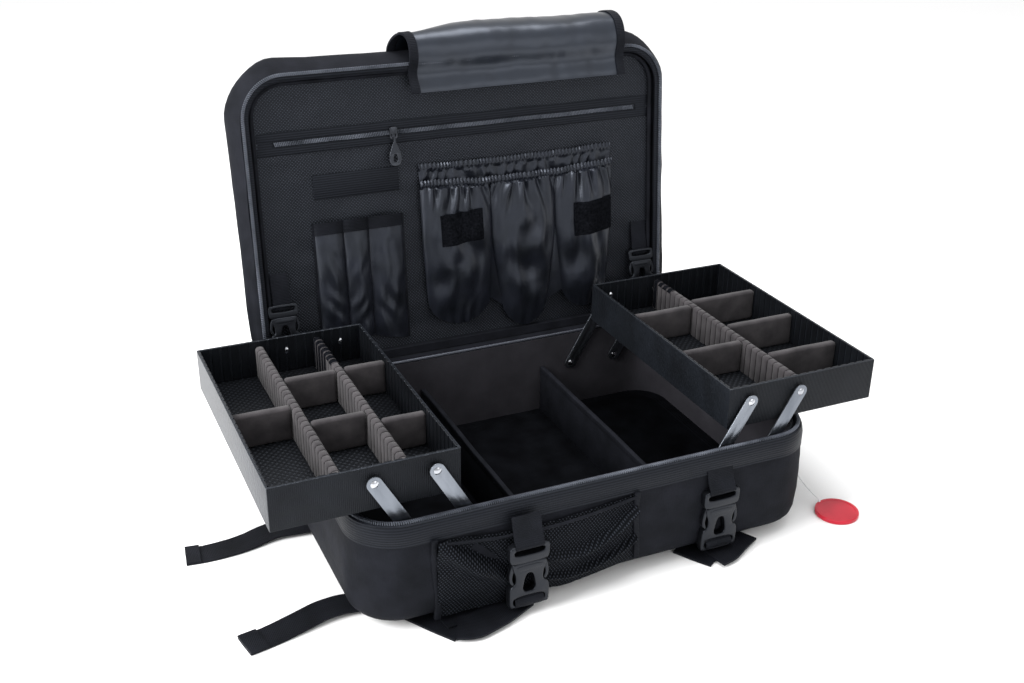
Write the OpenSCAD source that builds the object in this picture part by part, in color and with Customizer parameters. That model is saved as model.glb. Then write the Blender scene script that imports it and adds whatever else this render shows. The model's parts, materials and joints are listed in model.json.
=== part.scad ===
// Soft-sided stylist's tool case that opens flat: the lid leans back on its stays and two divider
// trays stand out to the sides on flat swing arms. Standing surface at z = 0, width along X,
// front towards -Y. Millimetres.

/* [Case] */
// Outside width of the case
case_w = 504; // [450:1:620]
// Outside depth of the case, front to back
case_d = 335; // [325:1:420]
// Height of the base, from its underside to its rim
base_h = 110; // [105:1:150]
// Radius of the case's upright corners
corner_r = 48; // [30:1:60]
// Thickness of the padded walls
wall_t = 8.5; // [5:0.5:12]
// Thickness of the padded floor
floor_t = 6; // [4:0.5:10]
// Thickness of the napped lining
liner_t = 2; // [1:0.5:4]
// Thickness of the loose floor pad
pad_t = 4; // [2:0.5:8]
// Height of the zip tape band round the rim
tape_h = 22; // [12:1:30]
// Thickness of the zip tape band
tape_t = 1.2; // [0.6:0.1:3]
// Width and height of a zip coil
coil_t = 3.5; // [2:0.5:6]

/* [Lid] */
// Depth of the lid at its hinged edge
lid_root_t = 14; // [13:1:30]
// Depth of the lid at its free edge
lid_tip_t = 50; // [30:1:80]
// Depth of the recess behind the lid's rim
lid_recess = 12; // [6:0.5:12]
// Width of the lid's padded rim
lid_rim = 9; // [5:0.5:15]
// How far the open lid leans back past upright
lid_lean = 5.5; // [2:0.5:20]
// How far the lid's width and height stand inside the case's
lid_inset = 0; // [0:0.5:6]

/* [Trays] */
// Width of each tray
tray_w = 182; // [150:1:200]
// Length of each tray, front to back
tray_d = 300; // [260:1:300]
// Height of each tray
tray_h = 45.5; // [35:0.5:60]
// Thickness of the tray's sides
tray_wall = 2.5; // [1.5:0.1:4]
// Thickness of the tray's floor
tray_floor = 3; // [2:0.1:5]
// Thickness of the mat in the tray
mat_t = 1.5; // [1:0.1:3]
// Distance from the case's middle to a tray that is swung out
tray_out = 146; // [144:1:170]
// Thickness of a foam divider
div_t = 9; // [5:0.5:12]
// Height of a foam divider
div_h = 36; // [20:0.5:40]
// Gap left at each end of a divider
div_gap = 0.5; // [0.2:0.1:1]

/* [Swing arms] */
// Distance between an arm's two pivots
arm_l = 97.5; // [90:0.5:105]
// Width of an arm
arm_w = 15; // [10:0.5:18]
// Thickness of an arm
arm_t = 1.5; // [1:0.1:2]
// Angle of the arm above level when the tray is swung out
arm_out = 60; // [50:0.5:75]
// Angle of the arm above level when the tray is swung in
arm_in = 18.5; // [17:0.5:30]
// Distance between the inner and the outer arm
arm_gap = 60.5; // [50:0.5:80]
// Distance from the tray's inner side to its nearer pivot
pivot_in = 25; // [15:0.5:35]
// Depth of the tray pivots below the tray's rim
pivot_drop = 16.5; // [10:0.5:25]
// Radius of a rivet's shank
rivet_r = 2; // [1.5:0.1:3]
// Radius of a rivet's head
rivet_head_r = 4; // [3:0.1:5.5]
// Height of a rivet's domed head
rivet_head_h = 1.4; // [0.8:0.1:1.4]
// Radial clearance of the shank in its hole
pin_clear = 0.05; // [0.02:0.01:0.1]
// Play of the arm along its rivet, on each side
arm_play = 0.15; // [0.1:0.05:0.2]

/* [Straps] */
// Width of the front webbing
web_w = 30; // [20:1:40]
// Thickness of the webbing
web_t = 1.6; // [1:0.1:2.5]
// Width of a side-release buckle
buckle_w = 42; // [38:1:60]
// Thickness of a side-release buckle
buckle_t = 10; // [7:0.5:14]
// Height of the stand pads under the base
stand_h = 8; // [8:0.5:20]
// Width of a shoulder strap
shoulder_w = 62; // [40:1:70]

/* [Tag] */
// Radius of the round hang tag
tag_r = 24; // [15:0.5:30]
// Thickness of the hang tag
tag_t = 4.5; // [2:0.5:6]
// Radius of the tag's string
string_r = 0.7; // [0.5:0.1:1]

/* [Hidden] */
$fn = 48;

touch = 0.1;                                  // gap between pieces that lie against each other
fit_gap = 0.3;                                // gap between soft pieces
rim_z = stand_h + base_h;
in_w = case_w - 2 * (wall_t + liner_t);       // room inside the lining
in_d = case_d - 2 * (wall_t + liner_t);
in_r = corner_r - wall_t - liner_t;
floor_z = stand_h + floor_t;                  // top of the padded floor
bed_z = floor_z + pad_t;                      // top of the loose floor pad
front_y = -case_d / 2;
inner_y = in_d / 2;

arm_y = tray_d / 2 + 2.6;                     // arm's face towards the tray
arm_back_y = arm_y + arm_t;
tray_z = rim_z + 13.5;                        // underside of a tray that is swung out
tray_rim_z = tray_z + tray_h;
up_z = tray_rim_z - pivot_drop;               // upper pivots, trays out
low_z = up_z - arm_l * sin(arm_out);          // lower pivots
low_in_x = tray_out + pivot_in - arm_l * cos(arm_out);
swing = 180 - arm_out - arm_in;               // how far each arm turns

div_top_z = low_z + arm_l * sin(arm_in) + pivot_drop - tray_h - 1.5;  // just under the trays
div_thin = 4;
div_left_x = -71;
div_right_x = 84;

pocket_x0 = -184;                             // mesh pocket on the front wall
pocket_x1 = 36;
pocket_t = 10;
pocket_z0 = stand_h + 3;
pocket_z1 = rim_z - tape_h - fit_gap;
pocket_bind_w = 6;

strap_x = [-92, 129];                         // front straps, and how far each stands off
strap_off = [pocket_t + touch + tape_t, tape_t + touch];
buckle_l = 70;
buckle_z = stand_h + 2;                       // lower end of the buckle
prong_l = 30;                                 // how much of the buckle is the pronged half
bar_t = 3.5;

lid_w = case_w - 2 * lid_inset;
lid_h = case_d - lid_inset;
lid_foot = 1;                                 // gap above the hinge line
lid_r = corner_r;

zip_u = 260;                                  // pocket zip: height up the lid
zip_x0 = -case_w / 2 + 34;
zip_x1 = case_w / 2 - 30;
zip_tape_h = 26;
slider_x = -84;
puller_l = 36;

stay_x = case_w / 2 - 26;
stay_w = 20;
stay_low_y = case_d / 2 - 9.5;
stay_z0 = rim_z + 0.5;
stay_rise = 117;
stay_run = 29.6;
stay_len = sqrt(pow(stay_rise, 2) + pow(stay_run, 2));
stay_tilt = atan(stay_run / stay_rise);
stay_buckle_w = 30;
stay_buckle_l = 46;

flap_x0 = -64;
flap_x1 = 199;
flap_t = 1.4;
flap_mid_v = -lid_tip_t / 2 - 0.5;
flap_r = lid_tip_t / 2 + 6;
flap_u = lid_h + 6;
flap_drop_front = 39;
flap_drop_back = flap_u - lid_foot - lid_h - touch;
flap_foot = 10.5;                             // width of the sewn foot on the lid's free edge

puller_foot = 14;                             // main zip puller's lower end, below the rim
tag_pos = [case_w / 2 + 43, -162, 0];
tag_hole_r = 1.6;
tag_hole = (tag_r - 3.8) * [-0.35, 0.937];    // from the tag's middle
tag_land = (tag_r - 1.1) * [-0.35, 0.937];    // where the string meets the tag
// string from the puller's foot to the tag: share of the way in X and in Y, share of the height
string_run = [
  [0, 0, 1], [0, 0, 0.97], [0.08, 0.01, 0.9], [0.17, 0.03, 0.81], [0.26, 0.06, 0.72],
  [0.36, 0.11, 0.63], [0.45, 0.17, 0.54], [0.54, 0.25, 0.45], [0.63, 0.34, 0.36],
  [0.72, 0.42, 0.27], [0.81, 0.52, 0.19], [0.87, 0.62, 0.13], [0.92, 0.73, 0.08],
  [0.96, 0.86, 0.05], [0.99, 0.95, 0.034], [1, 0.994, 0.022], [1, 1, 0.012], [1, 1, 0]
];
string_start = [case_w / 2 + 2.25, -60, rim_z - puller_foot - touch];
string_end = [tag_pos[0] + tag_land[0], tag_pos[1] + tag_land[1], tag_t + touch];
string_path = [for (p = string_run) [
  string_start[0] + p[0] * (string_end[0] - string_start[0]),
  string_start[1] + p[1] * (string_end[1] - string_start[1]),
  string_end[2] + p[2] * (string_start[2] - string_end[2])]];

// ---------- shared shapes ----------

module round_plate(w, d, r) {                 // flat outline with round corners, centred
  square([w - 2 * r, d], center = true);
  square([w, d - 2 * r], center = true);
  for (sx = [-1, 1], sy = [-1, 1])
    translate([sx * (w / 2 - r), sy * (d / 2 - r)]) circle(r = r, $fn = 96);
}

module round_block(w, d, h, r) { linear_extrude(h) round_plate(w, d, r); }

module round_ring(w, d, h, r, t) {
  difference() {
    round_block(w, d, h, r);
    translate([0, 0, -1]) round_block(w - 2 * t, d - 2 * t, h + 2, r - t);
  }
}

module box(lo, hi) { translate(lo) cube([hi[0] - lo[0], hi[1] - lo[1], hi[2] - lo[2]]); }

module in_lid() {                             // x across, y up the lid, z out of its opening
  translate([0, case_d / 2, rim_z]) rotate([90 - lid_lean, 0, 0]) children();
}

module rod_y(x, z, y0, y1, r) {               // round rod along Y
  translate([x, y0, z]) rotate([-90, 0, 0]) cylinder(r = r, h = y1 - y0);
}

module dome_y(x, z, y, side) {                // low rivet head whose flat faces -side
  k = (pow(rivet_head_r, 2) + pow(rivet_head_h, 2)) / (2 * rivet_head_h);
  translate([x, y, z]) rotate([side > 0 ? -90 : 90, 0, 0])
    rotate_extrude() intersection() {
      translate([0, rivet_head_h - k]) circle(r = k, $fn = 96);
      square([rivet_head_r, rivet_head_h]);
    }
}

// ---------- base ----------

module base_shell() {
  color("#202126") translate([0, 0, stand_h]) difference() {
    round_block(case_w, case_d, base_h, corner_r);
    translate([0, 0, floor_t])
      round_block(case_w - 2 * wall_t, case_d - 2 * wall_t, base_h, corner_r - wall_t);
  }
}

module base_liner() {
  color("#4b4745") translate([0, 0, floor_z + touch])
    round_ring(in_w + 2 * liner_t - 2 * touch, in_d + 2 * liner_t - 2 * touch,
               rim_z - 4 - floor_z - 2 * touch, in_r + liner_t - touch, liner_t - touch);
}

module liner_binding() {
  color("#17181b") translate([0, 0, rim_z - 4])
    round_ring(in_w + 2 * liner_t - 2 * touch, in_d + 2 * liner_t - 2 * touch, 4.5,
               in_r + liner_t - touch, liner_t - touch);
}

module floor_pad() {
  color("#111216") translate([0, 0, floor_z + touch])
    round_block(in_w - 2 * fit_gap, in_d - 2 * fit_gap, pad_t - touch, in_r - fit_gap);
}

module rim_tape() {
  color("#2b2c31") difference() {
    translate([0, 0, rim_z - tape_h])
      round_ring(case_w + 2 * tape_t, case_d + 2 * tape_t, tape_h, corner_r + tape_t,
                 tape_t - touch);
    box([-case_w, case_d / 2 - corner_r, 0], [case_w, case_d, rim_z + 10]);
  }
}

module base_zip_coil() {
  color("#303238") difference() {
    translate([0, 0, rim_z + touch])
      round_ring(case_w - 1, case_d - 1, coil_t, corner_r - 0.5, coil_t);
    box([-case_w, case_d / 2 - corner_r, 0], [case_w, case_d, rim_z + 20]);
  }
}

module main_zip_sliders() {                   // two sliders on the right-hand end of the zip
  for (y = [-60, 90]) color("#26272b") {
    box([case_w / 2 - 6, y - 6, rim_z + coil_t + 2 * touch],
        [case_w / 2 + tape_t + 2, y + 6, rim_z + coil_t + 3]);
    box([case_w / 2 + tape_t + touch, y - 3.5, rim_z - puller_foot],
        [case_w / 2 + tape_t + 2, y + 3.5, rim_z + coil_t + 3]);
  }
}

module floor_divider(x) {
  color("#141518")
    box([x - div_thin / 2, -inner_y + 1, bed_z + touch],
        [x + div_thin / 2, inner_y - 1, div_top_z]);
}

module floor_divider_left() { floor_divider(div_left_x); }
module floor_divider_right() { floor_divider(div_right_x); }

module base_pivots() {                        // shouldered studs that the arms turn on
  color("#c9ccd2") for (sx = [-1, 1], dx = [0, arm_gap], side = [-1, 1]) {
    x = sx * (low_in_x + dx);
    head_y = arm_y - arm_play;
    mirror([0, side < 0 ? 1 : 0, 0]) {
      rod_y(x, low_z, inner_y - 1, inner_y - touch, 6);
      rod_y(x, low_z, arm_back_y + arm_play, inner_y - 0.5, 3.2);
      rod_y(x, low_z, head_y - 0.3, inner_y - 0.5, rivet_r);
      dome_y(x, low_z, head_y, -1);
    }
  }
}

module mesh_pocket() {
  color("#1b1c1f")
    box([pocket_x0 + pocket_bind_w, front_y - touch - pocket_t, pocket_z0],
        [pocket_x1 - pocket_bind_w, front_y - touch, pocket_z1]);
}

module mesh_pocket_binding() {
  color("#202125") for (x = [pocket_x0, pocket_x1 - pocket_bind_w + touch])
    box([x, front_y - touch - 4, pocket_z0],
        [x + pocket_bind_w - touch, front_y - touch, pocket_z1]);
}

module strap_y(i) {                           // children stand off the front wall at strap i
  translate([strap_x[i], front_y - strap_off[i], 0]) children();
}

module front_webbing() {                      // from under the zip tape down to the pronged half
  color("#1c1d20") for (i = [0, 1]) strap_y(i)
    box([-web_w / 2, -web_t - 3, buckle_z + buckle_l + touch],
        [web_w / 2, -3, rim_z - tape_h / 2]);
}

module buckle_prongs(w, t, l, pl) {           // pronged half: slotted head and two spring sides
  slot_w = w - 10;
  difference() {
    box([-w / 2, -t, l - 18], [w / 2, 0, l]);
    box([-slot_w / 2, -t - 1, l - 18 + bar_t + 3], [slot_w / 2, 1, l - bar_t]);
  }
  for (s = [-1, 1]) translate([s * (w / 2 - 2), 0, 0])
    box([-2, -t + 1, l - 18 - pl + 2], [2, -1, l - 18 + 1]);
}

module buckle_socket(w, t, l, pl) {           // socket half: waisted body, window, webbing slot
  body_w = w - 9;
  difference() {
    union() {
      box([-w / 2, -t, 0], [w / 2, 0, l - 18 - pl + 1.5]);
      box([-body_w / 2, -t, 0], [body_w / 2, 0, l - 18 - 0.5]);
    }
    box([-w / 2 + 5, -t - 1, bar_t], [w / 2 - 5, 1, bar_t + 7]);
    translate([0, 1, 0]) rotate([90, 0, 0]) linear_extrude(t + 2)
      polygon([[-w * 0.17, bar_t + 12], [w * 0.17, bar_t + 12],
               [w * 0.09, l - 24], [-w * 0.09, l - 24]]);
  }
}

module front_buckle_prongs() {
  color("#1f2023") for (i = [0, 1]) strap_y(i)
    translate([0, -touch, buckle_z]) buckle_prongs(buckle_w, buckle_t, buckle_l, prong_l);
}

module front_buckle_sockets() {
  color("#1f2023") for (i = [0, 1]) strap_y(i)
    translate([0, -touch, buckle_z]) buckle_socket(buckle_w, buckle_t, buckle_l, prong_l);
}

module under_webbing() {                      // from the socket's bar to the underside
  web_in = stand_h - touch - web_t;
  color("#1c1d20") for (i = [0, 1]) {
    strap_y(i) box([-web_w / 2, -web_t - 3, web_in],
                   [web_w / 2, -3, buckle_z - touch]);
    box([strap_x[i] - web_w / 2, front_y - strap_off[i] - 3 - web_t, web_in],
        [strap_x[i] + web_w / 2, front_y + 14, stand_h - touch]);
  }
}

pad_half = 168;                               // padded back panel: half its length and width
pad_half_y = 78;

module soft_slab(lo, hi, r) {                 // flat pad with round corners, lying on z = lo[2]
  translate([(lo[0] + hi[0]) / 2, (lo[1] + hi[1]) / 2, lo[2]])
    round_block(hi[0] - lo[0], hi[1] - lo[1], hi[2] - lo[2], r);
}

shoulder_y0 = pad_half_y + 6;

module back_pad() {
  color("#1b1c20")
    soft_slab([-pad_half, -pad_half_y, 0], [pad_half, pad_half_y, stand_h - touch], 20);
}

module shoulder_strap(side) {
  mirror([0, side < 0 ? 1 : 0, 0])
    color("#1d1e22") soft_slab([-120, shoulder_y0, 0],
                               [215, shoulder_y0 + shoulder_w, stand_h - touch], 20);
}

module shoulder_strap_front() { shoulder_strap(-1); }
module shoulder_strap_rear() { shoulder_strap(1); }

module strap_slides() {                       // flat three-bar slide on each strap's webbing
  for (side = [-1, 1]) color("#22232a") translate([-141, side * 118, 0.2]) difference() {
    soft_slab([-11, -20, 0], [11, 20, 4], 3);
    for (dx = [-5, 5]) box([dx - 2.6, -15.5, -1], [dx + 2.6, 15.5, 5]);
  }
}

loop_t = 5;                                   // two turns of webbing, one on the other
loop_plans = [                                // plans of the folded turns, left and right
  [[-200, -138], [-171, -138], [-141, -166], [-97, -150], [-84, -186], [-150, -211],
   [-168, -210], [-175, -199]],
  [[90, -147], [122, -147], [134, -163], [150, -150], [172, -150], [177, -169], [142, -195],
   [122, -198], [114, -194], [104, -172]]
];

module strap_loops() {                        // slack turns of strap that show past the front
  color("#1c1d20") for (i = [0, 1]) {
    linear_extrude(loop_t) polygon(loop_plans[i]);
    box([i == 0 ? -199 : 92, -153, 0], [i == 0 ? -172 : 112, i == 0 ? -139 : -147.5, stand_h - touch]);
  }
}

tail_t = web_t + 0.6;
tail_front_line = [                           // middle of each tail, from its end to the case
  [-356, -129.6, 1.1], [-338, -126, 1.1], [-320, -122, 1.6], [-300, -117, 3], [-277, -111, 4.6],
  [-258, -109, 5], [-240, -110, 4.4], [-220, -113, 3.2], [-190, -117, 2], [-156, -118, 1.6]
];
tail_rear_line = [
  [-378.5, 35, 1.1], [-364, 33.2, 1.1], [-349, 32.5, 1.1], [-328, 33.5, 1.4], [-311, 37, 2.2],
  [-297, 41, 3.2], [-283, 43, 4.2], [-252, 40, 4.6], [-220, 33, 3.4], [-170.5, 27, 1.6]
];

function plan_dir(p, i) =
  let (d = p[min(i + 1, len(p) - 1)] - p[max(i - 1, 0)], e = [d[0], d[1]]) e / vlen(e);

module band(p, w, t) {                        // flat strap along a line, its width kept level
  n = len(p);
  pts = [for (i = [0 : n - 1]) let (d = plan_dir(p, i), q = [-d[1], d[0], 0] * w / 2)
    each [p[i] - q - [0, 0, t / 2], p[i] + q - [0, 0, t / 2],
          p[i] + q + [0, 0, t / 2], p[i] - q + [0, 0, t / 2]]];
  sides = [for (i = [0 : n - 2], j = [0 : 3]) let (k = (j + 1) % 4)
    each [[i * 4 + k, i * 4 + j, (i + 1) * 4 + j], [i * 4 + k, (i + 1) * 4 + j, (i + 1) * 4 + k]]];
  last = (n - 1) * 4;
  polyhedron(points = pts, faces = concat(sides, [[0, 1, 2, 3], [last + 3, last + 2, last + 1, last]]),
             convexity = 4);
}

module strap_tail_front() { color("#1a1b1e") band(tail_front_line, web_w, tail_t); }
module strap_tail_rear() { color("#1a1b1e") band(tail_rear_line, web_w, tail_t); }

module hang_tag() {
  color("#d3283a") translate(tag_pos) difference() {
    cylinder(r = tag_r, h = tag_t, $fn = 96);
    translate([tag_hole[0], tag_hole[1], -1]) cylinder(r = tag_hole_r, h = tag_t + 2);
  }
}

// ---------- string: rings of eight points swept along its path ----------

function vlen(v) = sqrt(v * v);
function lerp_path(p, n) = [for (i = [0 : n - 1])
  let (t = i * (len(p) - 1) / (n - 1), k = min(floor(t), len(p) - 2), f = t - k)
  p[k] * (1 - f) + p[k + 1] * f];
function dir_at(p, i) =
  let (d = p[min(i + 1, len(p) - 1)] - p[max(i - 1, 0)]) d / vlen(d);
function ring_at(p, i, r, sides) =
  let (d = dir_at(p, i), a = cross(d, [1, 0, 0]), u = a / vlen(a), w = cross(d, u))
  [for (j = [0 : sides - 1]) p[i] + r * cos(360 * j / sides) * u + r * sin(360 * j / sides) * w];

module sweep_tube(path, r, rings, sides) {
  p = lerp_path(path, rings);
  pts = [for (i = [0 : rings - 1]) each ring_at(p, i, r, sides)];
  sides_f = [for (i = [0 : rings - 2], j = [0 : sides - 1])
    let (k = (j + 1) % sides)
    [i * sides + j, i * sides + k, (i + 1) * sides + k, (i + 1) * sides + j]];
  caps = [[for (j = [sides - 1 : -1 : 0]) j], [for (j = [0 : sides - 1]) (rings - 1) * sides + j]];
  polyhedron(points = pts, faces = concat(sides_f, caps), convexity = 4);
}

module tag_string() { color("#f4f4f4") sweep_tube(string_path, string_r, 48, 8); }

// ---------- pieces between base and lid ----------

module hinge_fabric() {                       // strip sewn to the back wall and the lid's foot
  back_y = case_d / 2 + touch;
  half_w = case_w / 2 - corner_r;
  color("#202126") translate([-half_w, 0, 0]) rotate([90, 0, 90]) linear_extrude(2 * half_w)
    polygon([[back_y, rim_z - 24], [back_y + 1.4, rim_z - 24], [back_y + 1.4, rim_z - 4.5],
             [back_y + 16, rim_z - 3.4], [back_y + 16, rim_z - 2], [back_y, rim_z - 3]]);
}

module along_stay(s) {                        // x across the strap, y out of it, z up along it
  translate([s * stay_x, stay_low_y, stay_z0]) rotate([-stay_tilt, 0, 0]) children();
}

stay_buckle_z = 34;                           // where the buckle starts along the stay

module stay_roots() {                         // lower lengths, sewn to the base
  color("#1a1b1e") for (s = [-1, 1]) along_stay(s)
    box([-stay_w / 2, -0.8, 0], [stay_w / 2, 0.8, stay_buckle_z - touch]);
}

module stay_straps() {                        // upper lengths, sewn to the lid
  color("#1a1b1e") for (s = [-1, 1]) along_stay(s)
    box([-stay_w / 2, -0.8, stay_buckle_z + stay_buckle_l + touch], [stay_w / 2, 0.8, stay_len]);
}

module stay_buckle_sockets() {
  color("#1f2023") for (s = [-1, 1]) along_stay(s) translate([0, 4, stay_buckle_z])
    buckle_socket(stay_buckle_w, 8, stay_buckle_l, 14);
}

module stay_buckle_prongs() {
  color("#1f2023") for (s = [-1, 1]) along_stay(s) translate([0, 4, stay_buckle_z])
    buckle_prongs(stay_buckle_w, 8, stay_buckle_l, 14);
}

// ---------- lid ----------

module lid_outline(h, inset) {                // the lid's plan, its hinged edge near y = 0
  translate([0, lid_h / 2, 0])
    round_block(lid_w - 2 * inset, lid_h - 2 * inset, h, lid_r - inset);
}

module lid_shell() {
  color("#212227") in_lid() difference() {
    translate([0, lid_foot, -lid_tip_t]) intersection() {
      lid_outline(lid_tip_t, 0);
      translate([-lid_w, 0, lid_tip_t]) rotate([90, 0, 90]) linear_extrude(2 * lid_w)
        polygon([[-1, 1], [-1, -lid_root_t], [0, -lid_root_t], [lid_h, -lid_tip_t],
                 [lid_h + 1, -lid_tip_t], [lid_h + 1, 1]]);
    }
    translate([0, lid_foot, -lid_recess]) lid_outline(lid_recess + 1, lid_rim);
  }
}

module lid_liner() {
  color("#1f2025") in_lid() translate([0, lid_foot, -lid_recess + touch])
    lid_outline(liner_t - touch, lid_rim + fit_gap);
}

liner_v = -lid_recess + liner_t;              // face of the lid's lining

module lid_zip_coil() {
  color("#303238") in_lid() difference() {
    translate([0, lid_foot + lid_h / 2, touch])
      round_ring(lid_w - 1, lid_h - 1, coil_t, lid_r - 0.5, coil_t);
    box([-lid_w, -10, -1], [lid_w, corner_r, coil_t + 1]);
  }
}

module pocket_zip_tape() {
  color("#1b1c20") in_lid() for (s = [-1, 1])
    box([zip_x0 - 18, zip_u + (s > 0 ? 3 : -zip_tape_h / 2), liner_v + touch],
        [zip_x1 + 18, zip_u + (s > 0 ? zip_tape_h / 2 : -3), liner_v + 1]);
}

module pocket_zip_coil() {
  color("#26272b") in_lid()
    box([zip_x0, zip_u - 2.5, liner_v + touch], [zip_x1, zip_u + 2.5, liner_v + 2]);
}

slider_h = 2.6;
bail_u = -2.5;                                // middle of the slider's bail, from the zip's line
puller_v = liner_v + 2 + fit_gap + slider_h + 0.4;
puller_t = 2;
puller_neck = 0.9;                            // how far the puller's neck passes the bail's middle

module pocket_zip_slider() {                  // body and the two posts of its bail
  color("#2a2b30") in_lid() translate([slider_x, zip_u, liner_v + 2 + fit_gap]) {
    round_block(9, 13, slider_h, 2.5);
    for (s = [-1, 1]) box([s * 2.2 - 0.8, bail_u - 1.5, slider_h - touch],
                          [s * 2.2 + 0.8, bail_u + 1.5, slider_h + 3.4]);
  }
}

module pocket_zip_puller() {                  // narrow neck between the posts, drop-shaped grip
  color("#17181a") in_lid() translate([slider_x, zip_u + bail_u, puller_v]) {
    linear_extrude(puller_t) difference() {
      union() {
        translate([-1.2, -7]) square([2.4, 7 + puller_neck]);
        translate([0, -7.5]) round_plate(8, 5, 2);
        translate([0, -puller_l + 8]) circle(r = 7);
        translate([0, -puller_l / 2 - 1]) square([8, puller_l - 12], center = true);
      }
      translate([0, -puller_l + 8]) circle(r = 2.2);
    }
  }
}

module loop_strip() {
  color("#17181b") in_lid()
    box([-178, 195, liner_v + touch], [-80, 222, liner_v + 1.6]);
}

pen_x0 = -182;
pen_x1 = -79;

module pen_pocket() {
  color("#22242a") in_lid()
    box([pen_x0, 22, liner_v + touch], [pen_x1, 168, liner_v + 8]);
}

gath_x0 = -57;
gath_x1 = 186;

module gathered_pocket_back() {
  color("#1c1e23") in_lid()
    box([gath_x0, 150, liner_v + touch], [gath_x1, 221, liner_v + 4]);
}

module gathered_pocket_front() {
  color("#24262c") in_lid() {
    box([gath_x0, 16, liner_v + touch], [gath_x1, 149.7, liner_v + 12]);
    box([gath_x0, 149.7, liner_v + 4 + fit_gap], [gath_x1, 203, liner_v + 12]);
  }
}

module hook_patches() {
  color("#111214") in_lid() {
    box([-38, 126, liner_v + 12 + touch], [14, 162, liner_v + 13.5]);
    box([132, 116, liner_v + 12 + touch], [184, 156, liner_v + 13.5]);
  }
}

function flap_line(r) = concat(               // one face of the arch, from front to back
  [[-flap_drop_front, r]],
  [for (i = [0 : 20]) let (a = 90 - 9 * i) [r * cos(a), r * sin(a)]]);

module flap_band(x0, x1) {                    // arch that wraps over the lid's free edge
  inner = flap_line(flap_r - flap_t);
  b = flap_drop_back;
  in_lid() translate([x0, flap_u, flap_mid_v]) rotate([90, 0, 90]) linear_extrude(x1 - x0)
    polygon(concat(flap_line(flap_r),
                   [[-b, -flap_r], [-b, -flap_r + flap_foot], [-b + flap_t, -flap_r + flap_foot],
                    [-b + flap_t, -flap_r + flap_t]],
                   [for (i = [len(inner) - 1 : -1 : 0]) inner[i]]));
}

flap_bind_w = 9;

module vinyl_flap() {
  color("#16181b") flap_band(flap_x0 + flap_bind_w + touch, flap_x1 - flap_bind_w - touch);
}

module flap_binding() {
  color("#1e1f23") {
    flap_band(flap_x0, flap_x0 + flap_bind_w);
    flap_band(flap_x1 - flap_bind_w, flap_x1);
  }
}

// ---------- trays: drawn on the right-hand side, and mirrored for the left ----------

module on_side(s) { mirror([s < 0 ? 1 : 0, 0, 0]) children(); }

bay_x0 = tray_out + tray_wall;                // inside faces of a tray
bay_x1 = tray_out + tray_w - tray_wall;
bay_y = tray_d / 2 - tray_wall;
mat_z = tray_z + tray_floor;
bay_z = mat_z + mat_t;

module tray_shell() {
  color("#1d2024") difference() {
    box([tray_out, -tray_d / 2, tray_z], [tray_out + tray_w, tray_d / 2, tray_rim_z]);
    box([bay_x0, -bay_y, tray_z + tray_floor], [bay_x1, bay_y, tray_rim_z + 1]);
    for (dx = [0, arm_gap])
      rod_y(tray_out + pivot_in + dx, up_z, -tray_d, tray_d, rivet_r + pin_clear);
  }
}

module tray_mat() {
  color("#121316") box([bay_x0 + fit_gap, -bay_y + fit_gap, mat_z + touch / 2],
                       [bay_x1 - fit_gap, bay_y - fit_gap, bay_z - touch / 2]);
}

module long_divider(x) {                      // front to back, its top edge rounded
  r = div_t / 2;
  color("#6a6360") {
    box([x - r, -bay_y + rivet_head_h + div_gap, bay_z],
        [x + r, bay_y - rivet_head_h - div_gap, bay_z + div_h - r]);
    rod_y(x, bay_z + div_h - r, -bay_y + rivet_head_h + div_gap,
          bay_y - rivet_head_h - div_gap, r);
  }
}

module cross_divider(x0, x1, y) {             // across one column of the tray
  r = div_t / 2;
  color("#5a5451") {
    box([x0 + div_gap, y - r, bay_z], [x1 - div_gap, y + r, bay_z + div_h - r]);
    translate([x0 + div_gap, y, bay_z + div_h - r]) rotate([0, 90, 0])
      cylinder(r = r, h = x1 - x0 - 2 * div_gap);
  }
}

module tray_rivets() {                        // shank, washer and two domed heads
  color("#c9ccd2") for (dx = [0, arm_gap], side = [-1, 1]) {
    x = tray_out + pivot_in + dx;
    mirror([0, side < 0 ? 1 : 0, 0]) {
      rod_y(x, up_z, bay_y - touch, arm_back_y + arm_play + 0.3, rivet_r);
      rod_y(x, up_z, tray_d / 2 + touch, arm_y - arm_play, 4.5);
      dome_y(x, up_z, bay_y - touch, -1);
      dome_y(x, up_z, arm_back_y + arm_play, 1);
    }
  }
}

module arm_pair(dx) {                         // one arm at the front, one at the back
  x = low_in_x + dx;
  color("#c4c8ce") for (side = [-1, 1]) mirror([0, side < 0 ? 1 : 0, 0])
    translate([x, arm_back_y, low_z]) rotate([90, 0, 0]) rotate([0, 0, arm_out])
      linear_extrude(arm_t) difference() {
        union() {
          translate([0, -arm_w / 2]) square([arm_l, arm_w]);
          circle(r = arm_w / 2, $fn = 96);
          translate([arm_l, 0]) circle(r = arm_w / 2, $fn = 96);
        }
        for (d = [0, arm_l]) translate([d, 0]) circle(r = rivet_r + pin_clear, $fn = 96);
      }
}

left_bay = [52, 116];                         // long dividers, measured from the inner side
right_bay = [88];

module tray_left_shell() { on_side(-1) tray_shell(); }
module tray_left_mat() { on_side(-1) tray_mat(); }
module tray_left_long_dividers() { on_side(-1) for (d = left_bay) long_divider(tray_out + d); }

module tray_left_cross_dividers() {
  half = div_t / 2;
  a = tray_out + left_bay[0];
  b = tray_out + left_bay[1];
  on_side(-1) {
    for (y = [-62, 60]) cross_divider(bay_x0, a - half, y);
    for (y = [-40, 58]) cross_divider(a + half, b - half, y);
    cross_divider(b + half, bay_x1, 0);
  }
}

module tray_left_rivets() { on_side(-1) tray_rivets(); }
module arms_left_outer() { on_side(-1) arm_pair(arm_gap); }
module arms_left_inner() { on_side(-1) arm_pair(0); }

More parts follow.
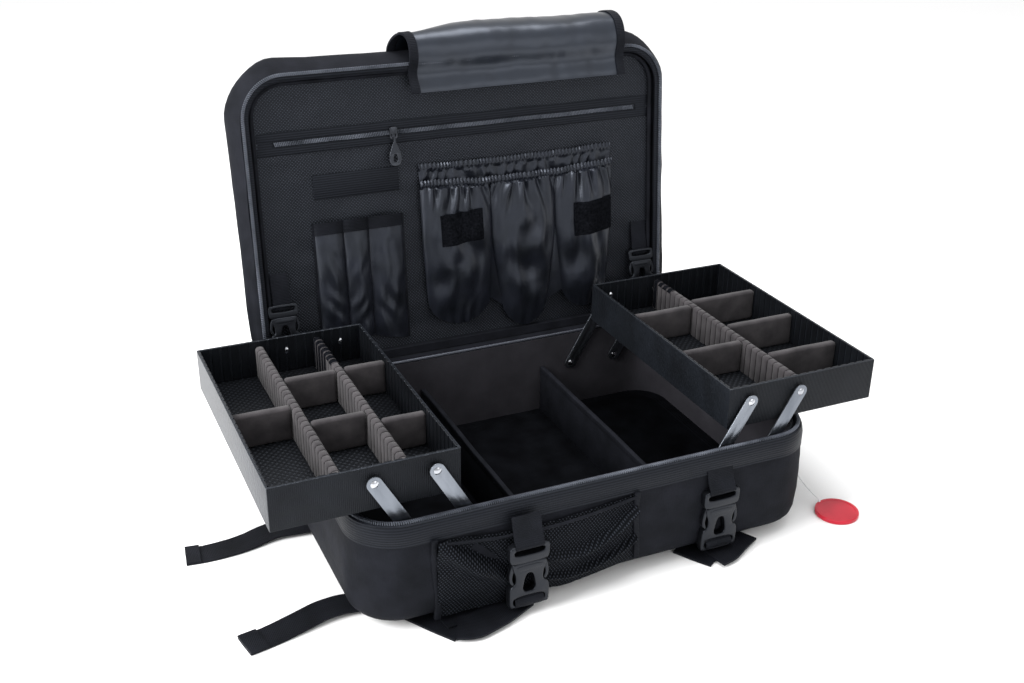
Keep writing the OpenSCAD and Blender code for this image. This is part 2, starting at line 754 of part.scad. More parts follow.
module tray_right_shell() { tray_shell(); }
module tray_right_mat() { tray_mat(); }
module tray_right_long_divider() { long_divider(tray_out + right_bay[0]); }

module tray_right_cross_dividers() {
  half = div_t / 2;
  a = tray_out + right_bay[0];
  for (y = [-45, 60]) cross_divider(bay_x0, a - half, y);
  for (y = [-85, -5, 72]) cross_divider(a + half, bay_x1, y);
}

module tray_right_rivets() { tray_rivets(); }
module arms_right_outer() { arm_pair(arm_gap); }
module arms_right_inner() { arm_pair(0); }

base_shell();
base_liner();
liner_binding();
floor_pad();
rim_tape();
base_zip_coil();
main_zip_sliders();
floor_divider_left();
floor_divider_right();
base_pivots();
mesh_pocket();
mesh_pocket_binding();
front_webbing();
front_buckle_prongs();
front_buckle_sockets();
under_webbing();
back_pad();
shoulder_strap_front();
shoulder_strap_rear();
strap_slides();
strap_loops();
strap_tail_front();
strap_tail_rear();
hang_tag();
tag_string();
hinge_fabric();
stay_roots();
stay_straps();
stay_buckle_prongs();
stay_buckle_sockets();
lid_shell();
lid_liner();
lid_zip_coil();
pocket_zip_tape();
pocket_zip_coil();
pocket_zip_slider();
pocket_zip_puller();
loop_strip();
pen_pocket();
gathered_pocket_back();
gathered_pocket_front();
hook_patches();
vinyl_flap();
flap_binding();
tray_left_shell();
tray_left_mat();
tray_left_long_dividers();
tray_left_cross_dividers();
tray_left_rivets();
arms_left_outer();
arms_left_inner();
tray_right_shell();
tray_right_mat();
tray_right_long_divider();
tray_right_cross_dividers();
tray_right_rivets();
arms_right_outer();
arms_right_inner();
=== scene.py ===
import bpy
import bmesh
import json
import math
from mathutils import Matrix, Vector, noise


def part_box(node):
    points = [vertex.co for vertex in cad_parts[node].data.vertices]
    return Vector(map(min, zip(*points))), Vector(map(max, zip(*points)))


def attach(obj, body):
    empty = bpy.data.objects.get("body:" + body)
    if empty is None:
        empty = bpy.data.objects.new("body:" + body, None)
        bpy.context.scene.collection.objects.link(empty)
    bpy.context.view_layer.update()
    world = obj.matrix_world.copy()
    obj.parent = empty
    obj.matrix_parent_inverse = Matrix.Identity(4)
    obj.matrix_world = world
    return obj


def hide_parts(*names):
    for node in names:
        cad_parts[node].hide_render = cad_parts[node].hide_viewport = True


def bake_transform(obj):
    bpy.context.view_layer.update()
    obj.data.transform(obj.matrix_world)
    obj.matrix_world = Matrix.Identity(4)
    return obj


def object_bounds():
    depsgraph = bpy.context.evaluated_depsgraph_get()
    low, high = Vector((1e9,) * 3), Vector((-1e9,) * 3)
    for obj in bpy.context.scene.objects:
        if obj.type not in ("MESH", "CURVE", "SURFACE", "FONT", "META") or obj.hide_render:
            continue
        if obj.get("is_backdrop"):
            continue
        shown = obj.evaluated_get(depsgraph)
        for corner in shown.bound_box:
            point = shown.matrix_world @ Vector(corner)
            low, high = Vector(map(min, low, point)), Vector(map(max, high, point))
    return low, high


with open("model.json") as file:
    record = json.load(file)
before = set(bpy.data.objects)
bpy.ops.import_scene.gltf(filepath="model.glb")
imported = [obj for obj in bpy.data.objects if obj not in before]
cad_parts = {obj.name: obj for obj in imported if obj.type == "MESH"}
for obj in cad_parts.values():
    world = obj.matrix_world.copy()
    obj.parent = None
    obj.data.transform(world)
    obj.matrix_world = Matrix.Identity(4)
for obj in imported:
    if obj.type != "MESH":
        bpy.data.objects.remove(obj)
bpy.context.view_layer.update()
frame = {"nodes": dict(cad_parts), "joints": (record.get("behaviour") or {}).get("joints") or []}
mm = 0.001
joints = {j["name"]: j for j in frame["joints"]}
hinge = Vector(joints["lid_hinge"]["pos_m"])
rimZ = hinge.z
shellLow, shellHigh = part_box("base_shell")
lidLean = math.radians(5.5)
lidPlace = Matrix.Translation(hinge) @ Matrix.Rotation(math.pi / 2 - lidLean, 4, "X")
frontPlace = Matrix.Translation((0, shellLow.y, 0)) @ Matrix.Rotation(math.pi / 2, 4, "X")

print("camera")                               # high to the left of the front, whole case in view
camera = {"place": (-0.5133, -1.0621, 0.7478), "turn": -24.565, "down": 25.205, "roll": 0.76,
          "lens": 43.36}
cameraData = bpy.data.cameras.new("camera")
cameraData.lens = camera["lens"]
cameraData.sensor_width = 36
cameraData.clip_end = 50
cameraObject = bpy.data.objects.new("camera", cameraData)
bpy.context.scene.collection.objects.link(cameraObject)
cameraObject.matrix_world = (
    Matrix.Translation(camera["place"])
    @ Matrix.Rotation(math.radians(camera["turn"]), 4, "Z")
    @ Matrix.Rotation(math.radians(90 - camera["down"]), 4, "X")
    @ Matrix.Rotation(math.radians(camera["roll"]), 4, "Z"))
bpy.context.scene.camera = cameraObject


def linear(code):
    parts = [int(code[i:i + 2], 16) / 255 for i in (1, 3, 5)]
    return tuple(p / 12.92 if p <= 0.04045 else ((p + 0.055) / 1.055) ** 2.4 for p in parts) + (1,)


def addNode(tree, kind, settings=None, links=None):
    node = tree.nodes.new(kind)
    for key, value in (settings or {}).items():
        if isinstance(key, int) or key in node.inputs:
            node.inputs[key].default_value = value
        else:
            setattr(node, key, value)
    for key, source in (links or {}).items():
        tree.links.new(source, node.inputs[key])
    return node


def startMaterial(name, **sockets):
    material = bpy.data.materials.new(name)
    material.use_nodes = True
    shader = material.node_tree.nodes["Principled BSDF"]
    for key, value in sockets.items():
        shader.inputs[key.replace("_", " ")].default_value = value
    return material, material.node_tree, shader


def spots(tree, scale, turn=(0, 0, 0)):       # Object coordinates, turned and stretched
    place = addNode(tree, "ShaderNodeTexCoord")
    return addNode(tree, "ShaderNodeMapping", {"Rotation": turn, "Scale": scale},
                   {"Vector": place.outputs["Object"]}).outputs[0]


def mixTones(tree, shader, factor, dark, light, low=0.3, high=0.7):
    ramp = addNode(tree, "ShaderNodeValToRGB", None, {"Fac": factor})
    ramp.color_ramp.elements[0].position = low
    ramp.color_ramp.elements[1].position = high
    ramp.color_ramp.elements[0].color = linear(dark)
    ramp.color_ramp.elements[1].color = linear(light)
    tree.links.new(ramp.outputs["Color"], shader.inputs["Base Color"])


def addBump(tree, shader, height, strength, distance):
    before = shader.inputs["Normal"].links
    bump = addNode(tree, "ShaderNodeBump", {"Strength": strength, "Distance": distance},
                   {"Height": height})
    if before:
        tree.links.new(before[0].from_socket, bump.inputs["Normal"])
    tree.links.new(bump.outputs["Normal"], shader.inputs["Normal"])


def sumOf(tree, first, second, operation="ADD"):
    return addNode(tree, "ShaderNodeMath", {"operation": operation},
                   {0: first, 1: second}).outputs[0]


def finishPiece(name, bm, material, body, stands=(), place=None, bend=32, ride=True):
    if place is not None:
        bmesh.ops.transform(bm, matrix=place, verts=bm.verts)
    mesh = bpy.data.meshes.new(name)
    bm.to_mesh(mesh)
    bm.free()
    for m in material if isinstance(material, (list, tuple)) else [material]:
        mesh.materials.append(m)
    for face in mesh.polygons:
        face.use_smooth = True
    mesh.set_sharp_from_angle(angle=math.radians(bend))
    piece = bpy.data.objects.new(name, mesh)
    bpy.context.scene.collection.objects.link(piece)
    if ride:
        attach(piece, body)
    if stands:
        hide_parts(*stands)
    return piece


def bevelEdges(bm, edges, width, segments, clamp=False):
    return bmesh.ops.bevel(bm, geom=edges, offset=width, offset_type="OFFSET", segments=segments,
                           profile=0.5, affect="EDGES", material=-1, clamp_overlap=clamp)["verts"]


def uprightEdges(bm, least):                  # edges that rise by more than least
    return [e for e in bm.edges if abs(e.verts[0].co.z - e.verts[1].co.z) > least]


def thicken(bm, thick):                       # open cloth made solid, normals outward
    bmesh.ops.recalc_face_normals(bm, faces=bm.faces)
    bmesh.ops.solidify(bm, geom=bm.faces[:], thickness=thick)
    bmesh.ops.recalc_face_normals(bm, faces=bm.faces)


def cadCopy(node):                            # the CAD shape, merged
    bm = bmesh.new()
    bm.from_mesh(frame["nodes"][node].data)
    bmesh.ops.remove_doubles(bm, verts=bm.verts, dist=0.00001)
    return bm


def addBlock(bm, low, high, radius=0, segments=2):
    made = bmesh.ops.create_cube(bm, size=1)["verts"]
    centre = (Vector(low) + Vector(high)) / 2
    size = Vector(high) - Vector(low)
    bmesh.ops.scale(bm, vec=size, verts=made)
    bmesh.ops.translate(bm, vec=centre, verts=made)
    if radius:
        edges = {e for v in made for e in v.link_edges}
        made = bevelEdges(bm, list(edges), radius, segments, True)
    return made


def cutGrid(bm, axis, low, high, step):       # loops of edges across the shape
    count = int((high - low) / step)
    normal = Vector((0, 0, 0))
    normal[axis] = 1
    for i in range(1, count):
        point = Vector((0, 0, 0))
        point[axis] = low + (high - low) * i / count
        bmesh.ops.bisect_plane(bm, geom=bm.verts[:] + bm.edges[:] + bm.faces[:],
                               plane_co=point, plane_no=normal)


def clothGrid(low, high, across, up, shape, thick=0.0006):
    bm = bmesh.new()
    bmesh.ops.create_grid(bm, x_segments=across, y_segments=up, size=0.5)
    for v in bm.verts:
        s, t = v.co.x + 0.5, v.co.y + 0.5
        x = low[0] + (high[0] - low[0]) * s
        u = low[1] + (high[1] - low[1]) * t
        v.co = Vector(shape(s, t, x, u))
    thicken(bm, thick)
    return bm


def addTo(bm, part):                          # puts one mesh into another
    mesh = bpy.data.meshes.new("part")
    part.to_mesh(mesh)
    part.free()
    bm.from_mesh(mesh)
    bpy.data.meshes.remove(mesh)


def ripple(x, y, z=0.0, size=30.0, seed=0.0):
    return noise.noise(Vector((x / mm / size + seed, y / mm / size, z / mm / size + 3 * seed)))


def ridge(value, width):                      # 1 on the line, falling off to both sides
    return math.exp(-(value / width) ** 2)


def resample(points, step):
    points = [Vector(p) for p in points]
    out, left = [points[0]], step
    for a, b in zip(points, points[1:]):
        length = (b - a).length
        at = left
        while at <= length:
            out.append(a.lerp(b, at / length))
            at += step
        left = at - length
    return out


def roundPath(halfW, halfD, radius, stopY):   # from the rear right corner, round the front
    points = [Vector((halfW, stopY))]
    for cx, cy, start in ((1, -1, 0), (-1, -1, -90)):
        for i in range(13):
            a = math.radians(start - 90 * i / 12)
            centre = Vector((cx * (halfW - radius), cy * (halfD - radius)))
            points.append(centre + radius * Vector((math.cos(a), math.sin(a))))
    points.append(Vector((-halfW, stopY)))
    return points


def curveShape(loops, cyclic, settings):      # a curve with a round or flat section, made a mesh
    curve = bpy.data.curves.new("line", "CURVE")
    for key, value in settings.items():
        setattr(curve, key, value)
    for points in loops:
        spline = curve.splines.new("POLY")
        spline.points.add(len(points) - 1)
        for p, co in zip(spline.points, points):
            p.co = (*Vector(co).to_3d(), 1)
        spline.use_cyclic_u = cyclic
    holder = bpy.data.objects.new("line", curve)
    mesh = bpy.data.meshes.new_from_object(holder)
    bm = bmesh.new()
    bm.from_mesh(mesh)
    bpy.data.objects.remove(holder)
    bpy.data.curves.remove(curve)
    bpy.data.meshes.remove(mesh)
    return bm


def curveMesh(points, depth=0.0, tall=0.0, round=3, cyclic=False):
    return curveShape([points], cyclic, {
        "dimensions": "3D", "twist_mode": "Z_UP", "fill_mode": "FULL", "bevel_depth": depth,
        "bevel_resolution": round, "extrude": tall, "use_fill_caps": True})


def soften(outline, times=2):                 # cuts the corners off an outline, again and again
    points = [Vector(p) * mm for p in outline]
    for i in range(times):
        ahead = points[1:] + points[:1]
        points = [q for a, b in zip(points, ahead) for q in (a.lerp(b, 0.2), a.lerp(b, 0.8))]
    return points


def plate(outlines, thick, edge=0.0008):      # flat plate with holes and rounded-over edges
    bm = curveShape(outlines, True, {
        "dimensions": "2D", "fill_mode": "BOTH", "extrude": thick / 2 - edge, "bevel_depth": edge,
        "bevel_resolution": 2, "offset": -edge})
    bmesh.ops.remove_doubles(bm, verts=bm.verts, dist=0.000005)
    return bm


def mirrored(right):                          # closed outline from its right-hand half
    return right + [(-x, y) for x, y in reversed(right) if x]


def addRibbon(bm, line, width, thick, side=None, across=6):   # flat strap along a line
    line = [Vector(p) * mm for p in line]
    steps = resample(line, 0.004) + [line[-1]]
    smooth = steps[:1] + [(a + 2 * b + c) / 4 for a, b, c in zip(steps, steps[1:], steps[2:])] + steps[-1:]
    strip = bmesh.new()
    bmesh.ops.create_grid(strip, x_segments=len(smooth) - 1, y_segments=across, size=0.5)
    for v in strip.verts:
        at = round((v.co.x + 0.5) * (len(smooth) - 1))
        ahead = smooth[min(at + 1, len(smooth) - 1)] - smooth[max(at - 1, 0)]
        out = side or Vector((-ahead.y, ahead.x, 0)).normalized()
        curl = 0.0012 * abs(ripple(smooth[at].x, smooth[at].y, 0, 50, 17)) * (2 * v.co.y) ** 2
        v.co = smooth[at] + out * v.co.y * width + Vector((0, 0, 0 if side else curl))
    bmesh.ops.solidify(strip, geom=strip.faces[:], thickness=thick)
    if not side:                              # the thickness lies evenly over and under the line
        middle = sum((v.co for v in strip.verts), Vector()) / len(strip.verts)
        lineMiddle = sum(smooth, Vector()) / len(smooth)
        bmesh.ops.translate(strip, vec=(0, 0, lineMiddle.z - middle.z), verts=strip.verts)
    bmesh.ops.recalc_face_normals(strip, faces=strip.faces)
    addTo(bm, strip)


def softCopy(node, name, material, body, radius, segments=2, bend=32):
    bm = cadCopy(node)                        # the CAD shape with its edges rounded over
    bmesh.ops.dissolve_limit(bm, angle_limit=math.radians(1), verts=bm.verts, edges=bm.edges)
    sharp = [e for e in bm.edges if len(e.link_faces) == 2 and e.calc_face_angle() > 0.7]
    bevelEdges(bm, sharp, radius, segments, True)
    bmesh.ops.triangulate(bm, faces=[f for f in bm.faces if len(f.verts) > 4])
    return finishPiece(name, bm, material, body, [node], bend=bend)


def addTeeth(bm, points, size):               # coil of a zip: one small rounded turn a pitch
    for i in range(1, len(points) - 1):
        along = (points[i + 1] - points[i - 1]).normalized()
        side = Vector((0, 0, 1)).cross(along).normalized()
        turn = Matrix((along, side, along.cross(side))).transposed().to_4x4()
        slant = Matrix.Rotation(math.radians(14), 4, "Z")
        grow = Matrix.Diagonal((*size, 1))
        bmesh.ops.create_cube(bm, size=1, matrix=Matrix.Translation(points[i]) @ turn @ slant @ grow)
    bevelEdges(bm, bm.edges[:], min(size) * 0.3, 1)


print("materials")
coolTint = (0.78, 0.85, 1.0, 1.0)             # black dyes give back a bluish light


def clothMaterial(name, dark, light, thread, strength, rough, specular=0.1, sheen=0.0,
                  mottle=40.0, turn=(0, 0, 0)):
    material, tree, shader = startMaterial(name, Roughness=rough, Specular_IOR_Level=specular,
                                           Specular_Tint=coolTint, Sheen_Weight=sheen,
                                           Sheen_Roughness=0.5)
    cloud = addNode(tree, "ShaderNodeTexNoise", {"Scale": mottle, "Detail": 4.0},
                    {"Vector": spots(tree, (1, 1, 1))})
    mixTones(tree, shader, cloud.outputs[0], dark, light)
    k = 1 / thread
    warp = addNode(tree, "ShaderNodeTexNoise", {"Scale": 1.0, "Detail": 1.0},
                   {"Vector": spots(tree, (k, k * 0.12, k * 0.12), turn)})
    weft = addNode(tree, "ShaderNodeTexNoise", {"Scale": 1.0, "Detail": 1.0},
                   {"Vector": spots(tree, (k * 0.12, k * 0.12, k), turn)})
    addBump(tree, shader, sumOf(tree, warp.outputs[0], weft.outputs[0]), strength, 0.0004)
    return material


def addWaves(material, pitch, strength, axes, turn=(0, 0, 0), paintedShadeTones=None, deep=0.0005):
    tree = material.node_tree                 # one or two sets of even ridges, crossed
    shader = tree.nodes["Principled BSDF"]
    place = spots(tree, (1, 1, 1), turn)
    heights = [addNode(tree, "ShaderNodeTexWave", {"bands_direction": axis, "Scale": 0.314 / pitch},
                       {"Vector": place}).outputs["Fac"] for axis in axes]
    height = heights[0]
    if len(heights) > 1:
        height = sumOf(tree, heights[0], heights[1], "MULTIPLY")
    # painted light and shade: the colour follows the ridges' height, lighter on their tops, darker in the
    # grooves
    if paintedShadeTones:
        mixTones(tree, shader, height, *paintedShadeTones)
    addBump(tree, shader, height, strength, deep)


def plasticMaterial(name, dark, light, rough, cell, strength, specular=0.4, metal=0.0,
                    stretch=(1, 1, 1)):
    material, tree, shader = startMaterial(name, Roughness=rough, Specular_IOR_Level=specular,
                                           Metallic=metal)
    if not metal:
        shader.inputs["Specular Tint"].default_value = coolTint
    place = spots(tree, stretch)
    grain = addNode(tree, "ShaderNodeTexVoronoi", {"Scale": 1 / cell}, {"Vector": place})
    cloud = addNode(tree, "ShaderNodeTexNoise", {"Scale": 30.0, "Detail": 3.0}, {"Vector": place})
    mixTones(tree, shader, cloud.outputs[0], dark, light)
    addBump(tree, shader, grain.outputs["Distance"], strength, 0.0005)
    return material


# woven polyester case cloth, matt near-black with a cool cast; its 0.4 mm thread is drawn at 1 mm
caseNylon = clothMaterial("woven_polyester_case_cloth", "#0f1013", "#191a1f", 0.001, 0.5, 0.75, 0.1)
# lid lining: lighter dobby weave, small diamonds 2.4 mm apart, drawn at twice their size
liningDobby = clothMaterial("dobby_weave_lining_cloth", "#101115", "#17181c", 0.0012, 0.3, 0.48, 0.3)
# the diamonds' raised parts are painted lighter and their hollows darker: painted light and shade over the
# real weave pattern
addWaves(liningDobby, 0.0026, 0.9, "XZ",
         (0, math.radians(45), 0), ("#060709", "#31343c", 0.25, 0.85))


def ribbedWebbing(name, axis):                # "Z" for straps that hang, "X" for tails that lie flat
    material = clothMaterial(name, "#0a0b0e", "#15161b", 0.0012, 0.5, 0.62, 0.12)
    addWaves(material, 0.0016, 0.5, axis)
    return material


# webbing: ribs across its run every 1.6 mm, a little shinier than the cloth
webbingCloth = ribbedWebbing("ribbed_polyester_webbing", "Z")
tailWebbing = ribbedWebbing("ribbed_polyester_tail_webbing", "X")
# woven zip tape, tight and satin, dark grey where it takes the light; its ribs are painted lighter on top
# and darker between, painted light and shade
zipTapeCloth = clothMaterial("woven_zip_tape", "#0e0f13", "#17181d", 0.0009, 0.4, 0.5, 0.14)
addWaves(zipTapeCloth, 0.0026, 0.3, "Z",
         (0, 0, 0), ("#0b0c0f", "#1a1c21", 0.1, 0.9))
# hook-and-loop pile, dull and deep black with fuzz
pileTape = clothMaterial("hook_and_loop_pile", "#050608", "#131418", 0.0018, 1.0, 0.95, 0.02, 0.0, 400)
# brushed nap lining, dark charcoal with soft warm blotches
napLining = clothMaterial("brushed_nap_lining", "#2a292d", "#37363b", 0.0014, 0.25, 0.95, 0.03, 0.06, 22)
# floor pad: matt black felt that swallows the light
padFelt = clothMaterial("pressed_black_felt", "#040405", "#0c0d10", 0.0014, 0.3, 0.85, 0.04)
# satin bias binding on the lining's top edge, the one line that catches the light inside
satinBinding = clothMaterial("satin_bias_binding", "#1d1e23", "#2c2d34", 0.0012, 0.3, 0.4, 0.5)
# nap over foam on the dividers, one step lighter, paler where it is brushed along the edges
dividerNap = clothMaterial("brushed_nap_over_foam", "#2c2a2c", "#403d3f", 0.0012, 0.3, 0.95, 0.03,
                           0.16, 60)
# shiny taffeta of the pockets: plain weave with a silky light along the folds
taffeta = clothMaterial("plain_woven_taffeta", "#0d0f13", "#171920", 0.0009, 0.2, 0.34, 0.45)
# moulded tray side, satin black, scale-like grain 3 mm across
trayGrain = plasticMaterial("scale_grained_abs_tray_side", "#101215", "#191c21", 0.42, 0.003, 0.9,
                            stretch=(1, 1, 0.6))
# tray ends: fine upright ribs 1.8 mm apart over a faint grain; the fainter level ribs that cross them are
# not drawn
trayRibbed = plasticMaterial("ribbed_abs_tray_end", "#090a0c", "#111316", 0.5, 0.002, 0.2, 0.15)
addWaves(trayRibbed, 0.0018, 0.6, "X")
# smooth inner walls of the trays, glossier, gently uneven
trayInner = plasticMaterial("satin_abs_tray_inside", "#090a0c", "#101215", 0.3, 0.012, 0.15)
# tray mat: raised basket weave 5 mm across, painted lighter on its raised parts and darker in its hollows:
# painted light and shade on one-colour rubber
matRubber = plasticMaterial("basket_embossed_tray_mat", "#0c0d0f", "#141518", 0.45, 0.003, 0.2, 0.2)
addWaves(matRubber, 0.005, 0.7, "XY",
         (0, 0, math.radians(45)), ("#090a0c", "#1c1e22", 0.1, 0.8))
# brushed aluminium arms, streaked along their length
armMetal = plasticMaterial("brushed_aluminium_arm", "#686d75", "#888d95", 0.36, 0.0006, 0.15, metal=1.0,
                           stretch=(1, 1, 0.1))
# polished steel rivets, bright with tiny scratches
rivetMetal = plasticMaterial("polished_steel_rivet", "#9fa2a8", "#cfd1d6", 0.16, 0.0006, 0.1, metal=1.0)
# acetal buckles: satin black moulding with a faint pebble
buckleAcetal = plasticMaterial("moulded_acetal_buckle", "#07080a", "#0e0f12", 0.3, 0.0009, 0.12, 0.3)
# nylon zip coil: dark satin filament; its grey tones, lighter than the black tape, are painted highlight
# for the glints on the teeth
coilNylonPaintedGlint = plasticMaterial("nylon_zip_coil_painted_glint", "#25282e", "#5c6069", 0.3, 0.001, 0.2)
# enamelled zip slider and puller
blackEnamel = plasticMaterial("black_enamel_on_zinc", "#0b0c0e", "#17181b", 0.2, 0.003, 0.08, 0.6)
# gloss vinyl film, black, gently rumpled, with wide soft highlights
glossVinyl = plasticMaterial("gloss_vinyl_film", "#0d1015", "#171b22", 0.32, 0.03, 0.1, 0.6)
# moulded tag, gloss red
tagPlastic = plasticMaterial("moulded_styrene_tag", "#b01426", "#cf2436", 0.25, 0.004, 0.05)
# tag string, clean white filament
stringNylon = plasticMaterial("white_nylon_filament", "#e2e2e4", "#f6f6f7", 0.5, 0.001, 0.1)
# open knitted mesh: slanting rows of dark holes 2.6 mm apart in black yarn; the holes' near-black is
# painted shade over the black wall seen through them, the raised yarn's lighter tone painted light
meshKnit = clothMaterial("open_knitted_mesh", "#08090b", "#141519", 0.001, 0.3, 0.6, 0.08)
addWaves(meshKnit, 0.0027, 0.9, "XZ",
         (0, math.radians(35), 0), ("#030405", "#30333a", 0.2, 0.9), 0.0009)

print("tag string")
tag = {"edge": 0.0011, "rim": 0.0022, "step": 0.0006, "recess": 0.0005, "across": -0.35, "back": 0.937}
string = {"thick": 0.0014, "knot": 0.0016, "out": 0.00225, "front": -0.06, "drop": 0.0141, "gap": 0.0001}
tagLow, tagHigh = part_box("hang_tag")
tagRadius = (tagHigh.x - tagLow.x) / 2
stringStart = Vector((shellHigh.x + string["out"], string["front"], rimZ - string["drop"]))
tagLand = tagRadius - tag["edge"]             # the string ends on the tag, near its edge
stringEnd = Vector(((tagLow.x + tagHigh.x) / 2 + tag["across"] * tagLand,
                    (tagLow.y + tagHigh.y) / 2 + tag["back"] * tagLand, tagHigh.z + string["gap"]))
stringRun = [(0, 0, 1), (0, 0, 0.97), (0.08, 0.01, 0.9), (0.17, 0.03, 0.81), (0.26, 0.06, 0.72),
             (0.36, 0.11, 0.63), (0.45, 0.17, 0.54), (0.54, 0.25, 0.45), (0.63, 0.34, 0.36),
             (0.72, 0.42, 0.27), (0.81, 0.52, 0.19), (0.87, 0.62, 0.13), (0.92, 0.73, 0.08),
             (0.96, 0.86, 0.05), (0.99, 0.95, 0.034), (1, 0.994, 0.022), (1, 1, 0.012), (1, 1, 0)]
stringPoints = [Vector((stringStart.x + a * (stringEnd.x - stringStart.x),
                        stringStart.y + b * (stringEnd.y - stringStart.y),
                        stringEnd.z + c * (stringStart.z - stringEnd.z))) for a, b, c in stringRun]
tagCentre = (tagLow + tagHigh) / 2
bm = bmesh.new()
bmesh.ops.create_cone(bm, cap_ends=True, segments=72, radius1=tagRadius, radius2=tagRadius,
                      depth=tagHigh.z - tagLow.z, matrix=Matrix.Translation(tagCentre))
bevelEdges(bm, [e for e in bm.edges if e.calc_face_angle() > 0.7], tag["edge"], 4)
topFace = max(bm.faces, key=lambda f: f.calc_center_median().z)
bmesh.ops.inset_region(bm, faces=[topFace], thickness=tag["rim"], depth=0)
bmesh.ops.inset_region(bm, faces=[topFace], thickness=tag["step"], depth=-tag["recess"])
hangTag = finishPiece("hangTag", bm, tagPlastic, "base", ["hang_tag"])
bm = bmesh.new()
bmesh.ops.create_uvsphere(bm, u_segments=16, v_segments=10, radius=string["knot"],
                          matrix=Matrix.Translation(stringPoints[-1] + Vector((0, 0, 0.0006))))
stringKnot = finishPiece("stringKnot", bm, stringNylon, "base")
stringMesh = curveMesh([tuple(p) for p in stringPoints], depth=string["thick"] / 2, round=2)
tagString = finishPiece("tagString", stringMesh, stringNylon, "base", ["tag_string"])

print("base shell")
shell = {"corner": 0.048, "foot": 0.013, "wall": 0.0082, "puff": 0.0035, "step": 0.009,
         "square": 0.014, "margin": 0.05, "crease": 0.0016, "grain": 0.0007, "sag": 0.0006}


def wallPush(co, halfW, halfD):               # how squarely a point faces out through a wall
    outX = max(0.0, abs(co.x) / halfW)
    outY = max(0.0, abs(co.y) / halfD)
    return Vector((math.copysign(outX ** 6, co.x), math.copysign(outY ** 6, co.y), 0))


bm = bmesh.new()
addBlock(bm, shellLow, shellHigh)
upright = uprightEdges(bm, 0.05)
bevelEdges(bm, upright, shell["corner"], 10)
footEdges = [e for e in bm.edges if all(v.co.z < shellLow.z + 0.001 for v in e.verts)]
bevelEdges(bm, footEdges, shell["foot"], 4)
bmesh.ops.delete(bm, geom=[f for f in bm.faces if f.normal.z > 0.9], context="FACES")
cutGrid(bm, 2, shellLow.z + shell["foot"], shellHigh.z, shell["step"])
cutGrid(bm, 0, shellLow.x + shell["margin"], shellHigh.x - shell["margin"], shell["square"])
cutGrid(bm, 1, shellLow.y + shell["margin"], shellHigh.y - shell["margin"], shell["square"])
shellTall = shellHigh.z - shellLow.z
for v in bm.verts:
    up = (v.co.z - shellLow.z) / shellTall
    face = wallPush(v.co, shellHigh.x, shellHigh.y)
    swell = shell["puff"] * math.sin(math.pi * min(1, up * 1.15)) ** 0.8
    crease = shell["crease"] * ripple(v.co.x * 1.4, v.co.y * 1.4, v.co.z * 0.55, 26, 1)
    crease += shell["grain"] * ripple(v.co.x, v.co.y, v.co.z, 9, 2)
    v.co += face * (swell + crease * math.sin(math.pi * min(1, up * 1.02)))
    if v.co.z < shellLow.z + 0.001 and abs(v.co.x) < shellHigh.x * 0.9:
        v.co.z += shell["sag"] * abs(ripple(v.co.x, v.co.y, 0, 30, 4))
bmesh.ops.solidify(bm, geom=bm.faces[:], thickness=shell["wall"])
bmesh.ops.recalc_face_normals(bm, faces=bm.faces)
finishPiece("caseShell", bm, caseNylon, "base", ["base_shell"], bend=50)

print("lining and floor of the base")
linerLow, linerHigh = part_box("base_liner")
lining = {"corner": 0.0395, "thick": 0.0016, "puff": 0.0008, "step": 0.009, "row": 0.008, "bind": 0.0021}
path = roundPath(linerHigh.x - 0.001, linerHigh.y - 0.001, lining["corner"], 0)
back = [Vector((p.x, -p.y)) for p in reversed(path)]
ringPath = resample(path + back[1:-1] + [path[0]], lining["step"])[:-1]
linerMid = (linerLow.z + linerHigh.z) / 2
linerTall = (linerHigh.z - linerLow.z) / 2
bm = curveMesh([(p.x, p.y, linerMid) for p in ringPath], tall=linerTall, cyclic=True)
cutGrid(bm, 2, linerLow.z, linerHigh.z, lining["row"])
for v in bm.verts:
    up = (v.co.z - linerLow.z) / (2 * linerTall)
    soft = lining["puff"] * ripple(v.co.x, v.co.y, v.co.z, 35, 5) * math.sin(math.pi * up)
    v.co += wallPush(v.co, linerHigh.x, linerHigh.y) * (soft - 0.0006)
thicken(bm, lining["thick"])
finishPiece("napLiningWall", bm, napLining, "base", ["base_liner"], bend=50)

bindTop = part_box("liner_binding")[1].z
bm = curveMesh([(p.x, p.y, bindTop - 0.0028) for p in ringPath], depth=lining["bind"], cyclic=True)
finishPiece("liningBinding", bm, satinBinding, "base", ["liner_binding"])

padLow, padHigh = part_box("floor_pad")
floorPad = {"corner": 0.039, "edge": 0.0015, "round": 0.0005, "rib": 0.0035, "deep": 0.0007}
bm = bmesh.new()
addBlock(bm, padLow, padHigh)
upright = uprightEdges(bm, 0.002)
bevelEdges(bm, upright, floorPad["corner"], 10)
topFace = max(bm.faces, key=lambda f: f.calc_center_median().z)
bmesh.ops.inset_region(bm, faces=[topFace], thickness=floorPad["edge"], depth=floorPad["round"])
for i in range(4):                            # corded border: ridge, groove, ridge, groove
    for way in (1, -1):
        bmesh.ops.inset_region(bm, faces=[topFace], thickness=floorPad["rib"] / 2,
                               depth=way * floorPad["deep"])
finishPiece("floorPad", bm, padFelt, "base", ["floor_pad"], bend=20)

board = {"edge": 0.0008, "rise": 0.0006, "proud": 0.0007, "band": 0.007, "round": 0.0012, "bow": 0.0009}
for side in ("left", "right"):                # stiff board with a bound top edge
    node = "floor_divider_" + side
    low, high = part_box(node)
    bm = bmesh.new()
    addBlock(bm, low, high, board["edge"], 2)
    addBlock(bm, (low.x - board["proud"], low.y, high.z - board["band"]),
             (high.x + board["proud"], high.y, high.z + board["rise"]), board["round"], 3)
    cutGrid(bm, 1, low.y, high.y, 0.012)
    for v in bm.verts:
        v.co.x += board["bow"] * ripple(v.co.x, v.co.y, v.co.z, 60, 6)
    finishPiece("floorDivider" + side.title(), bm, caseNylon, "base", [node], bend=40)

